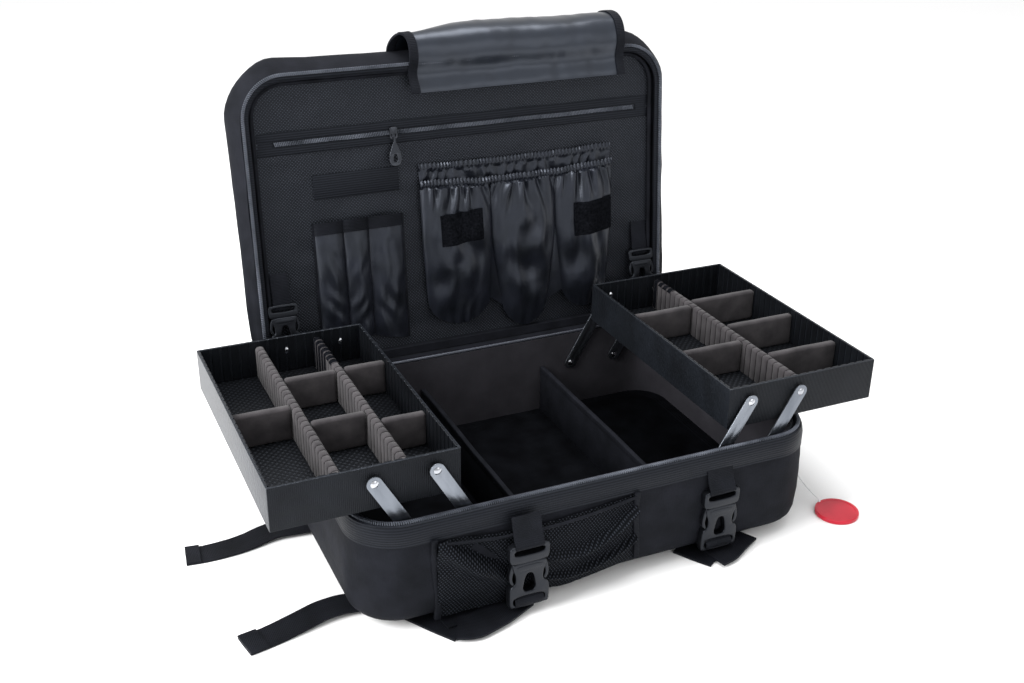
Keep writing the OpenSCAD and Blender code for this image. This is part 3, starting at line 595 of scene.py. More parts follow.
print("rim tape and main zip")
tapeLow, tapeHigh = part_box("rim_tape")
rim = {"corner": 0.0492, "stopY": 0.1195, "thick": 0.0012, "pitch": 0.0021, "step": 0.006,
       "row": 0.0025, "out": 0.0016, "roll": 0.0022, "stitch": 0.0005, "wave": 0.0007, "rise": 0.0012,
       "tooth": (0.0012, 0.0036, 0.0026), "coilIn": 0.0022}
tapePath = resample(roundPath(tapeHigh.x - 0.0004, -tapeLow.y - 0.0004, rim["corner"], rim["stopY"]),
                    rim["step"])
tapeMid = (tapeLow.z + tapeHigh.z) / 2
tapeTall = (tapeHigh.z - tapeLow.z) / 2
bm = curveMesh([(p.x, p.y, tapeMid) for p in tapePath], tall=tapeTall)
cutGrid(bm, 2, tapeLow.z, tapeHigh.z, rim["row"])
for v in bm.verts:
    up = (v.co.z - tapeLow.z) / (2 * tapeTall)
    face = wallPush(v.co, shellHigh.x, shellHigh.y)
    roll = -rim["roll"] * max(0, up - 0.75) / 0.25        # its top quarter leans in
    stitch = -rim["stitch"] if abs(up - 0.12) < 0.06 or abs(up - 0.7) < 0.06 else 0
    wave = rim["wave"] * ripple(v.co.x, v.co.y, 0, 45, 8)
    v.co += face * (rim["out"] + roll + stitch + wave)
    v.co.z += rim["rise"] * ripple(v.co.x, v.co.y, 0, 70, 9)
thicken(bm, rim["thick"])
finishPiece("rimTape", bm, zipTapeCloth, "base", ["rim_tape"], bend=50)

coilLow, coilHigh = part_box("base_zip_coil")
coilLine = roundPath(coilHigh.x - rim["coilIn"], -coilLow.y - rim["coilIn"], rim["corner"] - 0.002,
                     rim["stopY"])
bm = bmesh.new()
addTeeth(bm, [Vector((p.x, p.y, rimZ + 0.0022)) for p in resample(coilLine, rim["pitch"])], rim["tooth"])
finishPiece("baseZipCoil", bm, coilNylonPaintedGlint, "base", ["base_zip_coil"])
ledge = curveMesh([(p.x, p.y, rimZ + 0.0004) for p in resample(coilLine, 0.006)], tall=0.0006,
                  depth=0.0032, round=1)
for v in ledge.verts:
    v.co.z = rimZ + (v.co.z - rimZ) * 0.35 - 0.0004
finishPiece("baseZipTape", ledge, zipTapeCloth, "base")
softCopy("main_zip_sliders", "mainZipSliders", blackEnamel, "base", 0.0006)
softCopy("base_pivots", "basePivots", rivetMetal, "base", 0.0001, 1)

print("mesh pocket")
pocket = {"sag": 0.007, "bulge": 0.0105, "thick": 0.0007, "bindWide": 0.0065, "bindOut": 0.0052,
          "bindEdge": 0.0012, "elastic": 0.0016, "fold": 0.013, "hollow": 0.009, "swag": 0.009,
          "lowSwag": 0.008, "slack": 0.0018, "fine": 0.0008, "foot": 0.010}
meshLow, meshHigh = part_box("mesh_pocket")
bindEdgeLow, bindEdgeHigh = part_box("mesh_pocket_binding")


def meshShape(s, t, x, u):                    # slack mesh: a big fold at the left, swags at the right
    belly = math.sin(math.pi * min(1.0, 0.1 + 0.9 * s)) ** 0.5 * math.sin(math.pi * (0.12 + 0.8 * (1 - t)))
    out = 0.002 + pocket["bulge"] * belly ** 1.2 * 0.8
    crease = t - 0.95 + 1.9 * s               # runs from the top left corner down to the right
    out += pocket["fold"] * ridge(crease, 0.10) * ridge(s - 0.14, 0.16)
    out -= pocket["hollow"] * ridge(crease - 0.22, 0.10) * ridge(s - 0.2, 0.15)
    right = max(0.0, (s - 0.45) / 0.55)
    swag = t - 0.62 + 0.42 * (1 - right) * right * 2.2 - 0.18 * right
    out += pocket["swag"] * ridge(swag, 0.05) * min(1, right * 5)
    low = t - 0.28 + 0.3 * (1 - right) * right * 2 - 0.1 * right
    out += pocket["lowSwag"] * ridge(low, 0.045) * min(1, right * 5)
    out += (pocket["slack"] * ripple(x, u * 2.0, 0, 26, 11)
            + pocket["fine"] * ripple(x * 2, u * 3, 0, 14, 13))
    top = -pocket["sag"] * math.sin(math.pi * s) * t ** 3
    foot = pocket["foot"] * max(0.0, (s - 0.6) / 0.4) ** 1.6 * (1 - t) ** 2
    return x, u + top + foot, max(0.0012, out)


bm = clothGrid((meshLow.x - 0.002, meshLow.z - 0.001), (meshHigh.x + 0.002, meshHigh.z), 130, 60,
               meshShape, pocket["thick"])
meshPocket = finishPiece("meshPocket", bm, meshKnit, "base", ["mesh_pocket"], frontPlace)
bm = bmesh.new()
for x, drop in ((bindEdgeLow.x, 0.003), (bindEdgeHigh.x - 0.006, -0.008)):
    addBlock(bm, (x, meshLow.z - drop, 0),
             (x + pocket["bindWide"], meshHigh.z + 0.002, pocket["bindOut"]), pocket["bindEdge"], 2)
cutGrid(bm, 1, meshLow.z, meshHigh.z, 0.006)
for v in bm.verts:
    v.co.x += 0.0016 * math.sin(v.co.y * 60)
finishPiece("meshPocketBinding", bm, webbingCloth, "base", ["mesh_pocket_binding"], frontPlace)
hem = [(meshLow.x + (meshHigh.x - meshLow.x) * i / 40, meshHigh.z - 0.003
        - pocket["sag"] * math.sin(math.pi * i / 40), 0.0052 + 0.004 * math.sin(math.pi * i / 40))
       for i in range(41)]
finishPiece("meshPocketElastic", curveMesh(hem, depth=pocket["elastic"]), webbingCloth, "base",
            place=frontPlace)

print("front straps and buckles")


def buckleHalves(place, size):                # side-release buckle, drawn 42 mm wide and 70 long
    head = soften(mirrored([(13, 60), (19.5, 61.5), (21, 66), (21, 77), (18, 80)]))
    headSlot = soften(mirrored([(16, 69), (16, 76)]))
    grow = place @ Matrix.Diagonal((size.x / 0.042, size.y / 0.070, size.z / 0.010, 1)) \
        @ Matrix.Translation((0, -0.010, 0.005))
    prongs = plate([head, headSlot], 0.0092, 0.0012)
    for s in (-1, 1):                         # springy side arms, thick at the shoulder
        arm = [(s * x, y) for x, y in ((12, 61), (17, 61), (19.5, 55), (21, 47), (20.6, 40), (17, 35.5),
                                       (15, 37), (17.6, 43), (16.5, 51), (13, 56))]
        addTo(prongs, plate([soften(arm)], 0.0066, 0.001))
    guide = plate([soften(mirrored([(3, 52), (3.4, 61)]), 1)], 0.004)
    addTo(prongs, guide)
    body = soften(mirrored([(18.5, 10), (21, 12), (21, 31), (18.5, 35.5), (14.6, 37.5), (14.4, 46),
                            (17.6, 55), (17.8, 59.6), (15, 61)]))
    window = soften(mirrored([(7.6, 27), (3.8, 48)]))
    barSlot = soften(mirrored([(16.4, 12.6), (16.4, 22.6)]))
    socket = plate([body, window, barSlot], 0.0098, 0.0014)
    rib = soften(mirrored([(12.4, 52.5), (13.6, 58)]), 1)
    addTo(socket, plate([rib], 0.0106, 0.0004))
    for bm in (prongs, socket):
        bmesh.ops.transform(bm, matrix=grow, verts=bm.verts)
    return prongs, socket


def finishBuckles(name, node, body, places, size):
    halves = bmesh.new(), bmesh.new()
    for place in places:
        for half, part in zip(halves, buckleHalves(place, size)):
            addTo(half, part)
    for half, kind in zip(halves, ("Prongs", "Sockets")):
        finishPiece(name + kind, half, buckleAcetal, body, [f"{node}_{kind.lower()}"])


webbing = {"wide": 0.030, "thick": 0.0016, "tail": 0.0018, "loopWide": 0.034, "loopThick": 0.0024}
frontStraps = [(-0.092, 0.0114), (0.129, 0.0014)]     # middle of each strap, how far it stands off
finishBuckles("frontBuckle", "front_buckle", "base",
              [frontPlace @ Matrix.Translation((x, 0.010, off)) for x, off in frontStraps],
              Vector((0.042, 0.070, 0.010)))
bmWeb = bmesh.new()
upperRun = [(107, -0.4), (99, 1.5), (88, 5), (82, 8.6), (80.4, 11.6), (76.4, 12.2), (74.4, 8), (76, 3)]
lowerRun = [(24, 3), (21.4, 8), (19.4, 12), (14.4, 12.4), (10.6, 10), (9.4, 4)]
for x, off in frontStraps:                    # over the bar of each half, heights and stand-off in mm
    for run in (upperRun, lowerRun):
        addRibbon(bmWeb, [(x / mm, y, off / mm + out) for y, out in run], webbing["wide"],
                  webbing["thick"], Vector((1, 0, 0)))
finishPiece("frontWebbing", bmWeb, webbingCloth, "base", ["front_webbing"], frontPlace, 50)
softCopy("under_webbing", "underWebbing", webbingCloth, "base", 0.0004)

print("pads and straps underneath")
for node, name, slot, fill in (("back_pad", "backPad", "nylon", 0.7),
                               ("shoulder_strap_front", "shoulderStrapFront", "webbing", 0.6),
                               ("shoulder_strap_rear", "shoulderStrapRear", "webbing", 0.6)):
    padPiece = softCopy(node, name, caseNylon, "base", 0.003, 4)
softCopy("strap_slides", "strapSlides", buckleAcetal, "base", 0.0005)


tails = {
    "strap_tail_front": ("strapTailFront", [
        (-356, -129.6, 1.1), (-338, -126, 1.1), (-320, -122, 1.6), (-300, -117, 3), (-277, -111, 4.6),
        (-258, -109, 5), (-240, -110, 4.4), (-220, -113, 3.2), (-190, -117, 2), (-156, -118, 1.6)]),
    "strap_tail_rear": ("strapTailRear", [
        (-378.5, 35, 1.1), (-364, 33.2, 1.1), (-349, 32.5, 1.1), (-328, 33.5, 1.4), (-311, 37, 2.2),
        (-297, 41, 3.2), (-283, 43, 4.2), (-252, 40, 4.6), (-220, 33, 3.4), (-170.5, 27, 1.6)])}
for node, (name, line) in tails.items():
    bm = bmesh.new()
    addRibbon(bm, line, webbing["wide"], webbing["tail"])
    hem = [(x, y, z + 1.9) for x, y, z in line[:2]]
    addRibbon(bm, hem, webbing["wide"] + 0.0002, webbing["tail"])   # its end, folded back and sewn
    finishPiece(name, bm, tailWebbing, "base", [node], bend=50)

loops = [[((-192, -140, 1.4), (-180, -160, 1.4), (-160, -190, 1.4)),
          ((-166, -186, 4.2), (-152, -192, 4.6), (-125, -184, 5), (-92, -168, 5.4)),
          ((-176, -166, 3), (-140, -161, 3), (-104, -157, 3.2))],
         [((104, -148, 1.4), (114, -166, 1.4), (126, -184, 1.4)),
          ((120, -184, 4.2), (135, -181, 4.8), (155, -169, 5), (172, -160, 5.2))]]
bm = bmesh.new()
for turns in loops:
    for line in turns:
        addRibbon(bm, line, webbing["loopWide"], webbing["loopThick"])
finishPiece("strapLoops", bm, tailWebbing, "base", ["strap_loops"], bend=50)

print("trays")
tray = {"wall": 0.0025, "panel": 0.0083, "pitch": 0.0101, "deep": 0.0009, "proud": 0.0007,
        "lip": 0.0005, "rise": 0.0004, "foot": 0.0016, "floor": 0.003, "margin": 0.004}


def makeTray(side):
    node = f"tray_{side}_shell"
    body = "tray_" + side
    low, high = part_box(node)
    bm = bmesh.new()
    addBlock(bm, low, high)
    bevelEdges(bm, [e for e in bm.edges if min(v.co.z for v in e.verts) < low.z + 0.001],
               tray["foot"], 2)
    top = [f for f in bm.faces if f.normal.z > 0.9 and f.calc_center_median().z > high.z - 0.001]
    bmesh.ops.inset_region(bm, faces=top, thickness=tray["lip"], depth=tray["rise"])
    bmesh.ops.inset_region(bm, faces=top, thickness=tray["wall"] - 2 * tray["lip"], depth=0)
    bmesh.ops.inset_region(bm, faces=top, thickness=tray["lip"], depth=-tray["rise"])
    floor = bmesh.ops.extrude_discrete_faces(bm, faces=top)["faces"]
    bmesh.ops.translate(bm, vec=(0, 0, low.z + tray["floor"] - high.z), verts=floor[0].verts[:])
    for f in bm.faces:
        middle = f.calc_center_median()
        outside = middle.y < low.y + 0.001 or middle.y > high.y - 0.001
        f.material_index = 0 if outside and abs(f.normal.y) > 0.9 else 1
    shell = len(bm.faces)
    ribLow, ribHigh = low.z + 0.0045, high.z + tray["proud"]
    for axis in (0, 1):                       # upright panels inside, a narrow groove between
        other = 1 - axis
        run = high[axis] - low[axis] - 2 * tray["margin"]
        count = round(run / tray["pitch"])
        step = run / count
        for i in range(count):
            at = low[axis] + tray["margin"] + step * (i + 0.5)
            for wall, into in ((low[other] + tray["wall"], 1), (high[other] - tray["wall"], -1)):
                a, b = sorted((wall - into * 0.0012, wall + into * tray["deep"]))
                lo, hi = [0, 0, ribLow], [0, 0, ribHigh]
                lo[axis], hi[axis] = at - tray["panel"] / 2, at + tray["panel"] / 2
                lo[other], hi[other] = a, b
                addBlock(bm, lo, hi, 0.0005, 1)
    bm.faces.ensure_lookup_table()
    for f in bm.faces[shell:]:
        f.material_index = 2
    finishPiece("trayShell" + side.title(), bm, [trayRibbed, trayGrain, trayInner], body,
                [node])
    softCopy(f"tray_{side}_mat", "trayMat" + side.title(), matRubber, body, 0.0003)
    softCopy(f"tray_{side}_rivets", "trayRivets" + side.title(), rivetMetal, body,
             0.0001, 1)
    for place in ("outer", "inner"):
        arm = f"arms_{side}_{place}"
        softCopy(arm, "arms" + side.title() + place.title(), armMetal, arm, 0.0003, 2)


foam = {"thick": 0.009, "slot": 0.0013, "pitch": 0.0101, "crown": 0.0036, "edge": 0.0007, "uneven": 0.0005,
        "core": 0.0033, "low": 0.0012, "pillow": 0.003, "bow": 0.0009}


def makeLongDividers(side, node):             # blocks of foam between narrow black slots
    bm = bmesh.new()
    low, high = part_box(node)
    thick, slot = foam["thick"], foam["slot"]
    middles = [low.x + thick / 2]
    if high.x - low.x > 2 * thick:
        middles.append(high.x - thick / 2)
    count = round((high.y - low.y) / foam["pitch"])
    step = (high.y - low.y) / count
    for x in middles:
        for i in range(count):
            y = low.y + step * i
            made = addBlock(bm, (x - thick / 2, y + slot / 2, low.z),
                            (x + thick / 2, y + step - slot / 2, high.z))
            edges = {e for v in made for e in v.link_edges}
            crown = [e for e in edges if all(v.co.z > high.z - 0.001 for v in e.verts)
                     and abs(e.verts[0].co.y - e.verts[1].co.y) > 0.002]
            bevelEdges(bm, crown, foam["crown"], 5)
    sharp = [e for e in bm.edges if e.calc_face_angle(0) > 0.9]
    bevelEdges(bm, sharp, foam["edge"], 2)
    for v in bm.verts:
        v.co.x += foam["uneven"] * ripple(v.co.x, v.co.y, v.co.z, 12, 12)
    blocks = len(bm.faces)
    for x in middles:
        addBlock(bm, (x - foam["core"], low.y, low.z), (x + foam["core"], high.y, high.z - foam["low"]),
                 0.001, 2)
    bm.faces.ensure_lookup_table()
    for f in bm.faces[blocks:]:
        f.material_index = 1
    piece = finishPiece("longDividers" + side.title(), bm, [dividerNap, pileTape], "tray_" + side,
                        [node], bend=45)


def makeCrossDividers(side):
    node = f"tray_{side}_cross_dividers"
    bm = cadCopy(node)
    islands, seen = [], set()
    for v in bm.verts:
        if v in seen:
            continue
        group, stack = [], [v]
        while stack:
            w = stack.pop()
            if w in seen:
                continue
            seen.add(w)
            group.append(w.co.copy())
            stack.extend(e.other_vert(w) for e in w.link_edges)
        islands.append((Vector([min(c[k] for c in group) for k in range(3)]),
                        Vector([max(c[k] for c in group) for k in range(3)])))
    bm.clear()
    for low, high in islands:
        addBlock(bm, low, high, foam["pillow"], 4)
    cutGrid(bm, 0, min(l.x for l, h in islands), max(h.x for l, h in islands), 0.008)
    cutGrid(bm, 2, islands[0][0].z, islands[0][1].z, 0.006)
    for v in bm.verts:
        v.co.y += foam["bow"] * ripple(v.co.x, v.co.y, v.co.z, 26, 14)
    piece = finishPiece("crossDividers" + side.title(), bm, dividerNap, "tray_" + side,
                        [node], bend=45)


for side in ("left", "right"):
    makeTray(side)
    makeCrossDividers(side)
makeLongDividers("left", "tray_left_long_dividers")
makeLongDividers("right", "tray_right_long_divider")

print("lid")
lid = {"wide": 0.504, "tall": 0.335, "foot": 0.001, "root": 0.014, "tip": 0.05, "corner": 0.048,
       "rimWide": 0.009, "deep": 0.012, "edge": 0.009, "puff": 0.007, "square": 0.016, "margin": 0.05,
       "row": 0.006, "gusset": 0.011, "crease": 0.0016, "grain": 0.0006}
liningV = -0.010
bm = bmesh.new()
addBlock(bm, (-lid["wide"] / 2, lid["foot"], -lid["tip"]), (lid["wide"] / 2, lid["tall"], 0))
upright = uprightEdges(bm, 0.02)
bevelEdges(bm, upright, lid["corner"], 10)
backEdges = [e for e in bm.edges if all(v.co.z < -lid["tip"] + 0.001 for v in e.verts)]
bevelEdges(bm, backEdges, lid["edge"], 4)
mouth = [f for f in bm.faces if f.normal.z > 0.9]
bmesh.ops.inset_region(bm, faces=mouth, thickness=lid["rimWide"], depth=0)
hollow = bmesh.ops.extrude_discrete_faces(bm, faces=mouth)["faces"]
bmesh.ops.translate(bm, vec=(0, 0, -lid["deep"]), verts=hollow[0].verts[:])
cutGrid(bm, 2, -lid["tip"] + lid["edge"], 0, lid["row"])
cutGrid(bm, 0, -lid["wide"] / 2 + lid["margin"], lid["wide"] / 2 - lid["margin"], lid["square"])
cutGrid(bm, 1, lid["margin"], lid["tall"] - lid["margin"], lid["square"])
for v in bm.verts:
    u = v.co.y / lid["tall"]
    deep = -v.co.z / lid["tip"]
    thin = (lid["root"] + (lid["tip"] - lid["root"]) * u) / lid["tip"]
    inside = abs(v.co.z + lid["deep"]) < 0.0005 and abs(v.co.x) < lid["wide"] / 2 - 0.0085
    outline = Vector((v.co.x / (lid["wide"] / 2), (v.co.y / lid["tall"] - 0.5) * 2, 0))
    face = Vector((math.copysign(abs(outline.x) ** 8, outline.x),
                   math.copysign(abs(outline.y) ** 8, outline.y), 0))
    soft = (lid["crease"] * ripple(v.co.x, v.co.y, v.co.z * 2, 34, 21)
            + lid["grain"] * ripple(v.co.x, v.co.y, v.co.z, 10, 22))
    if not inside:
        if face.y > 0 or abs(face.x) > 0.4:
            swell = lid["gusset"] * math.sin(math.pi * min(1, deep)) * max(0, face.y + abs(face.x))
            v.co += face * (swell + soft * 0.8)
        if deep > 0.3:
            dome = max(0, 1 - outline.x ** 4) * max(0, 1 - outline.y ** 4)
            v.co.z = v.co.z * thin - lid["puff"] * dome * 0.6 + soft
        elif deep > 0:
            v.co.z *= 1 - (1 - thin) * deep / 0.3 * 0.9
bmesh.ops.recalc_face_normals(bm, faces=bm.faces)
finishPiece("lidShell", bm, caseNylon, "lid", ["lid_shell"], lidPlace, bend=50)

print("lid lining")
bm = bmesh.new()
panel = {"gap": 0.0002, "thick": 0.0016, "square": 0.005, "ease": 0.02, "pull": 0.0014, "fine": 0.0007,
         "lift": 0.0016}
inner = lid["rimWide"] + panel["gap"]
addBlock(bm, (-lid["wide"] / 2 + inner, lid["foot"] + inner, liningV - panel["thick"]),
         (lid["wide"] / 2 - inner, lid["tall"] - inner, liningV))
upright = uprightEdges(bm, 0.001)
bevelEdges(bm, upright, lid["corner"] - inner, 10)
cutGrid(bm, 0, -lid["wide"] / 2 + inner, lid["wide"] / 2 - inner, panel["square"])
cutGrid(bm, 1, lid["foot"] + inner, lid["tall"] - inner, panel["square"])
for v in bm.verts:
    edge = min(lid["wide"] / 2 - inner - abs(v.co.x), v.co.y - inner, lid["tall"] - inner - v.co.y)
    ease = min(1, max(0, edge / panel["ease"]))
    pull = (panel["pull"] * ripple(v.co.x, v.co.y * 1.8, 0, 42, 31)
            + panel["fine"] * ripple(v.co.x * 1.6, v.co.y, 0, 16, 32))
    v.co.z += pull * ease + panel["lift"] * (1 - ease)
finishPiece("lidLining", bm, liningDobby, "lid", ["lid_liner"], lidPlace, bend=50)

lidHalfW, lidHalfH = lid["wide"] / 2, lid["tall"] / 2


def lidPath(inset, stop, step):               # round the lid's rim, hinge side left open
    line = roundPath(lidHalfW - inset, lidHalfH - inset, lid["corner"] - inset, lidHalfH - stop)
    return [Vector((p.x, lidHalfH - p.y, 0)) for p in resample(line, step)]


bm = bmesh.new()
coilUp = Vector((0, lid["foot"], 0.0021))
addTeeth(bm, [p + coilUp for p in lidPath(rim["coilIn"], 0.045, rim["pitch"])], rim["tooth"])
finishPiece("lidZipCoil", bm, coilNylonPaintedGlint, "lid", ["lid_zip_coil"], lidPlace)
bm = curveMesh([(p.x, p.y + lid["foot"], 0.0004) for p in lidPath(0.0055, 0.02, 0.006)], depth=0.003)
for v in bm.verts:
    v.co.z = (v.co.z - 0.0004) * 0.3 + 0.0003
finishPiece("lidZipTape", bm, zipTapeCloth, "lid", place=lidPlace)
bm = curveMesh([(p.x, p.y + lid["foot"], liningV + 0.004) for p in lidPath(0.0125, 0.02, 0.006)],
               depth=0.0024)
for v in bm.verts:
    v.co.z += 0.0006 * ripple(v.co.x, v.co.y, 0, 25, 33)
finishPiece("lidPiping", bm, caseNylon, "lid", place=lidPlace)

print("zip pocket")
zipLine = {"x0": -0.218, "x1": 0.222, "u": 0.260, "pitch": 0.0019, "end": 0.018, "near": 0.0028,
           "far": 0.0125, "thick": 0.0014, "tooth": (0.0011, 0.0048, 0.0018), "wander": 0.0008}
bm = bmesh.new()
tapeFrom, tapeTo = zipLine["x0"] - zipLine["end"], zipLine["x1"] + zipLine["end"]
for u0, u1 in ((zipLine["near"], zipLine["far"]), (-zipLine["far"], -zipLine["near"])):
    addBlock(bm, (tapeFrom, zipLine["u"] + u0, liningV - 0.0002),
             (tapeTo, zipLine["u"] + u1, liningV + zipLine["thick"]), 0.0005, 2)
for x in (tapeFrom, zipLine["x1"]):           # one piece across, beyond each end of the coil
    addBlock(bm, (x, zipLine["u"] - 0.012, liningV),
             (x + zipLine["end"], zipLine["u"] + 0.012, liningV + 0.0011), 0.0004, 2)
cutGrid(bm, 0, tapeFrom, tapeTo, 0.006)
for v in bm.verts:
    v.co.z += 0.0006 * ripple(v.co.x, v.co.y, 0, 18, 41)
    v.co.y += zipLine["wander"] * ripple(v.co.x, 0, 0, 50, 42)
finishPiece("pocketZipTape", bm, zipTapeCloth, "lid", ["pocket_zip_tape"], lidPlace)
bm = bmesh.new()
teethX = [zipLine["x0"] + i * zipLine["pitch"] for i in range(int(0.44 / zipLine["pitch"]))]
teethLine = [Vector((x, zipLine["u"] + zipLine["wander"] * ripple(x, 0, 0, 50, 42), liningV + 0.0016))
             for x in teethX]
addTeeth(bm, teethLine, zipLine["tooth"])
finishPiece("pocketZipCoil", bm, coilNylonPaintedGlint, "lid", ["pocket_zip_coil"], lidPlace)
softCopy("pocket_zip_slider", "pocketZipSlider", blackEnamel, "zip_slider", 0.0006, 3)
pullLow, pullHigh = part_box("pocket_zip_puller")
pullOut = soften(mirrored([(1.0, 0.9), (1.2, 0), (1.2, -7), (3.4, -12), (6.6, -20), (7.4, -27),
                           (5.4, -33), (0, -34.4)]))
pullHole = soften(mirrored([(1.6, -21), (2.6, -26), (1.8, -29.6), (0, -30)]))
finishPiece("pocketZipPuller", plate([pullOut, pullHole], 0.002, 0.0005), blackEnamel, "zip_puller",
            ["pocket_zip_puller"],
            lidPlace @ Matrix.Translation(((pullLow.x + pullHigh.x) / 2, zipLine["u"] - 0.0025,
                                           liningV + 0.0063)))

print("flat tapes and pen pocket")
softCopy("loop_strip", "loopStrip", zipTapeCloth, "lid", 0.0004)
pen = {"x": (-0.182, -0.149, -0.120, -0.079), "low": (0.044, 0.020), "top": 0.163, "puff": 0.0075,
       "seam": 0.0016, "seamOut": 0.0022, "seamEdge": 0.0007, "seamLow": (0.044, 0.037, 0.031, 0.020)}


def slotAt(edges, x):                         # which slot a point is in, and how far across it
    k = 0 if x < edges[1] else 1 if x < edges[2] else 2
    return k, max(0.0, min(1.0, (x - edges[k]) / (edges[k + 1] - edges[k])))


def penShape(s, t, x, u):
    k, inside = slotAt(pen["x"], x)
    bow = math.sin(math.pi * inside) ** 0.6
    low = pen["low"][0] + (pen["low"][1] - pen["low"][0]) * s
    up = low + (pen["top"] - low) * t
    body = math.sin(math.pi * min(1, 0.2 + 0.72 * t)) ** 0.6
    sag = math.sin(26 * (t + 0.3 * inside * (-1) ** k) + 2 * k + 3 * ripple(x, up, 0, 35, 51))
    out = 0.0012 + bow * (pen["puff"] * body + 0.0008 * sag * (1 - t) + 0.0022 * ripple(
        x * 1.4, up * 0.55, 0, 15, 52 + k))
    return x, up, liningV + max(0.0008, out)


bm = clothGrid((pen["x"][0], 0), (pen["x"][3], 1), 90, 70, penShape, 0.0006)
penPocket = finishPiece("penPocket", bm, taffeta, "lid", ["pen_pocket"], lidPlace)


def bandShape(low, high, out, rise=0.0):      # bound edge that follows the slots' fronts
    def shape(s, t, x, u):
        k, inside = slotAt(pen["x"], x)
        bow = math.sin(math.pi * inside) ** 0.6
        return x, low + (high - low) * t + 0.001 * bow, liningV + out + rise * bow
    return shape


bm = clothGrid((pen["x"][0], 0), (pen["x"][3], 1), 60, 4,
               bandShape(pen["top"] - 0.008, pen["top"] + 0.006, 0.003, 0.005), 0.0012)
finishPiece("penPocketBand", bm, webbingCloth, "lid", place=lidPlace)
bm = bmesh.new()
for x, low in zip(pen["x"], pen["seamLow"]):
    addBlock(bm, (x - pen["seam"], low, liningV),
             (x + pen["seam"], pen["top"] + 0.005, liningV + pen["seamOut"]), pen["seamEdge"], 2)
finishPiece("penPocketSeams", bm, webbingCloth, "lid", place=lidPlace)

print("gathered pocket")
gather = {"x": (-0.057, 0.028, 0.110, 0.186), "low": (0.028, 0.013, 0.024), "front": 0.203,
          "back": 0.221, "puff": 0.0125, "band": 0.0085, "narrow": (0.08, 0.3, 0.22), "hem": 0.0052,
          "fine": (0.0026, 0.0125), "broad": (0.0042, 0.031), "footFold": (0.0012, 0.017),
          "billow": 0.0062, "bead": (0.0009, 0.0044), "roll": 0.0016, "stand": 0.0078, "round": 0.03,
          "backLow": 0.17, "backOut": 0.0028, "backFold": (0.0012, 0.014), "jog": 0.0007}
# a fold's pair is its height and how far apart the folds lie


def gatherOut(x, t, up):                      # how far the pouch stands off the lining
    k, inside = slotAt(gather["x"], x)
    bow = math.sin(math.pi * inside)
    belly = math.sin(math.pi * min(1.0, 0.1 + 0.86 * (1 - t))) ** 0.7
    out = gather["hem"] + gather["puff"] * bow ** 0.5 * belly
    lean = (inside - 0.5) * (up - 0.11)
    warp = 3.2 * ripple(x, up * 0.5, 0, 34, 61 + k)
    fine = math.sin(2 * math.pi * (x + 0.5 * lean) / gather["fine"][1] + 1.6 * warp)
    broad = math.sin(2 * math.pi * (x + 1.1 * lean) / gather["broad"][1] + 1.7 * k + 1.5 * warp)
    near = max(0.0, 1 - (1 - t) / 0.24)
    foot = max(0.0, 1 - t / 0.18)
    vary = 0.5 + ripple(x, up * 0.3, 0, 18, 75)
    out += (gather["fine"][0] * fine * near ** 0.8 * vary
            + gather["broad"][0] * broad * bow * (1 - foot) * (0.35 + 0.65 * near))
    high, pitch = gather["footFold"]
    out += high * math.sin(2 * math.pi * x / pitch + 2 * warp) * foot * vary
    out += gather["billow"] * ripple(x * 1.3, up * 0.8, 0, 27, 66 + k) * bow * belly
    return out


def pucker(x, up, low, seed):                 # elastic rolled in the hem, drawn tight
    high, pitch = gather["bead"]
    wave = math.sin(2 * math.pi * x / pitch + 5 * ripple(x, 0, 0, 24, seed))
    roll = math.sin(math.pi * max(0.0, min(1.0, (up - low) / gather["band"]))) ** 0.6
    return roll * (gather["roll"] + high * wave), wave


def gatherShape(s, t, x, u):
    k, inside = slotAt(gather["x"], x)
    bow = math.sin(math.pi * inside)
    low = gather["low"][k] + gather["round"] * (1 - bow ** 0.5)
    top = gather["front"] - 0.005 * math.sin(math.pi * s) + 0.002 * ripple(x, 0, 0, 26, 69)
    up = low + (top - low) * t
    out = gatherOut(x, t, up)
    start = top - gather["band"]
    if up > start:
        rise, wave = pucker(x, up, start, 63)
        out = gather["stand"] + rise + 0.0012 * ripple(x, up, 0, 14, 64)
        up += gather["jog"] * wave
    middle = (gather["x"][k] + gather["x"][k + 1]) / 2
    x = middle + (x - middle) * (1 - gather["narrow"][k] * max(0.0, 1 - t / 0.55) ** 1.2)
    return x, up, liningV + max(0.0012, out)


bm = clothGrid((gather["x"][0], 0), (gather["x"][3], 1), 300, 120, gatherShape, 0.0006)
gatherFront = finishPiece("gatheredPocketFront", bm, taffeta, "lid",
                          ["gathered_pocket_front"], lidPlace, bend=60)


def backShape(s, t, x, u):
    top = gather["back"] - 0.002 * math.sin(math.pi * s) + 0.002 * ripple(x, 0, 0, 30, 73)
    up = gather["backLow"] + (top - gather["backLow"]) * t
    high, pitch = gather["backFold"]
    fold = math.sin(2 * math.pi * x / pitch + 5 * ripple(x, up, 0, 30, 71))
    out = gather["backOut"] + high * fold + 0.002 * ripple(x, up, 0, 12, 72)
    start = top - gather["band"]
    if up > start:
        rise, wave = pucker(x, up, start, 74)
        out = gather["backOut"] + rise
        up += gather["jog"] * wave
    return x, up, liningV + max(0.0006, out)


bm = clothGrid((gather["x"][0], 0), (gather["x"][3], 1), 260, 24, backShape, 0.0006)
gatherBack = finishPiece("gatheredPocketBack", bm, taffeta, "lid",
                         ["gathered_pocket_back"], lidPlace, bend=60)

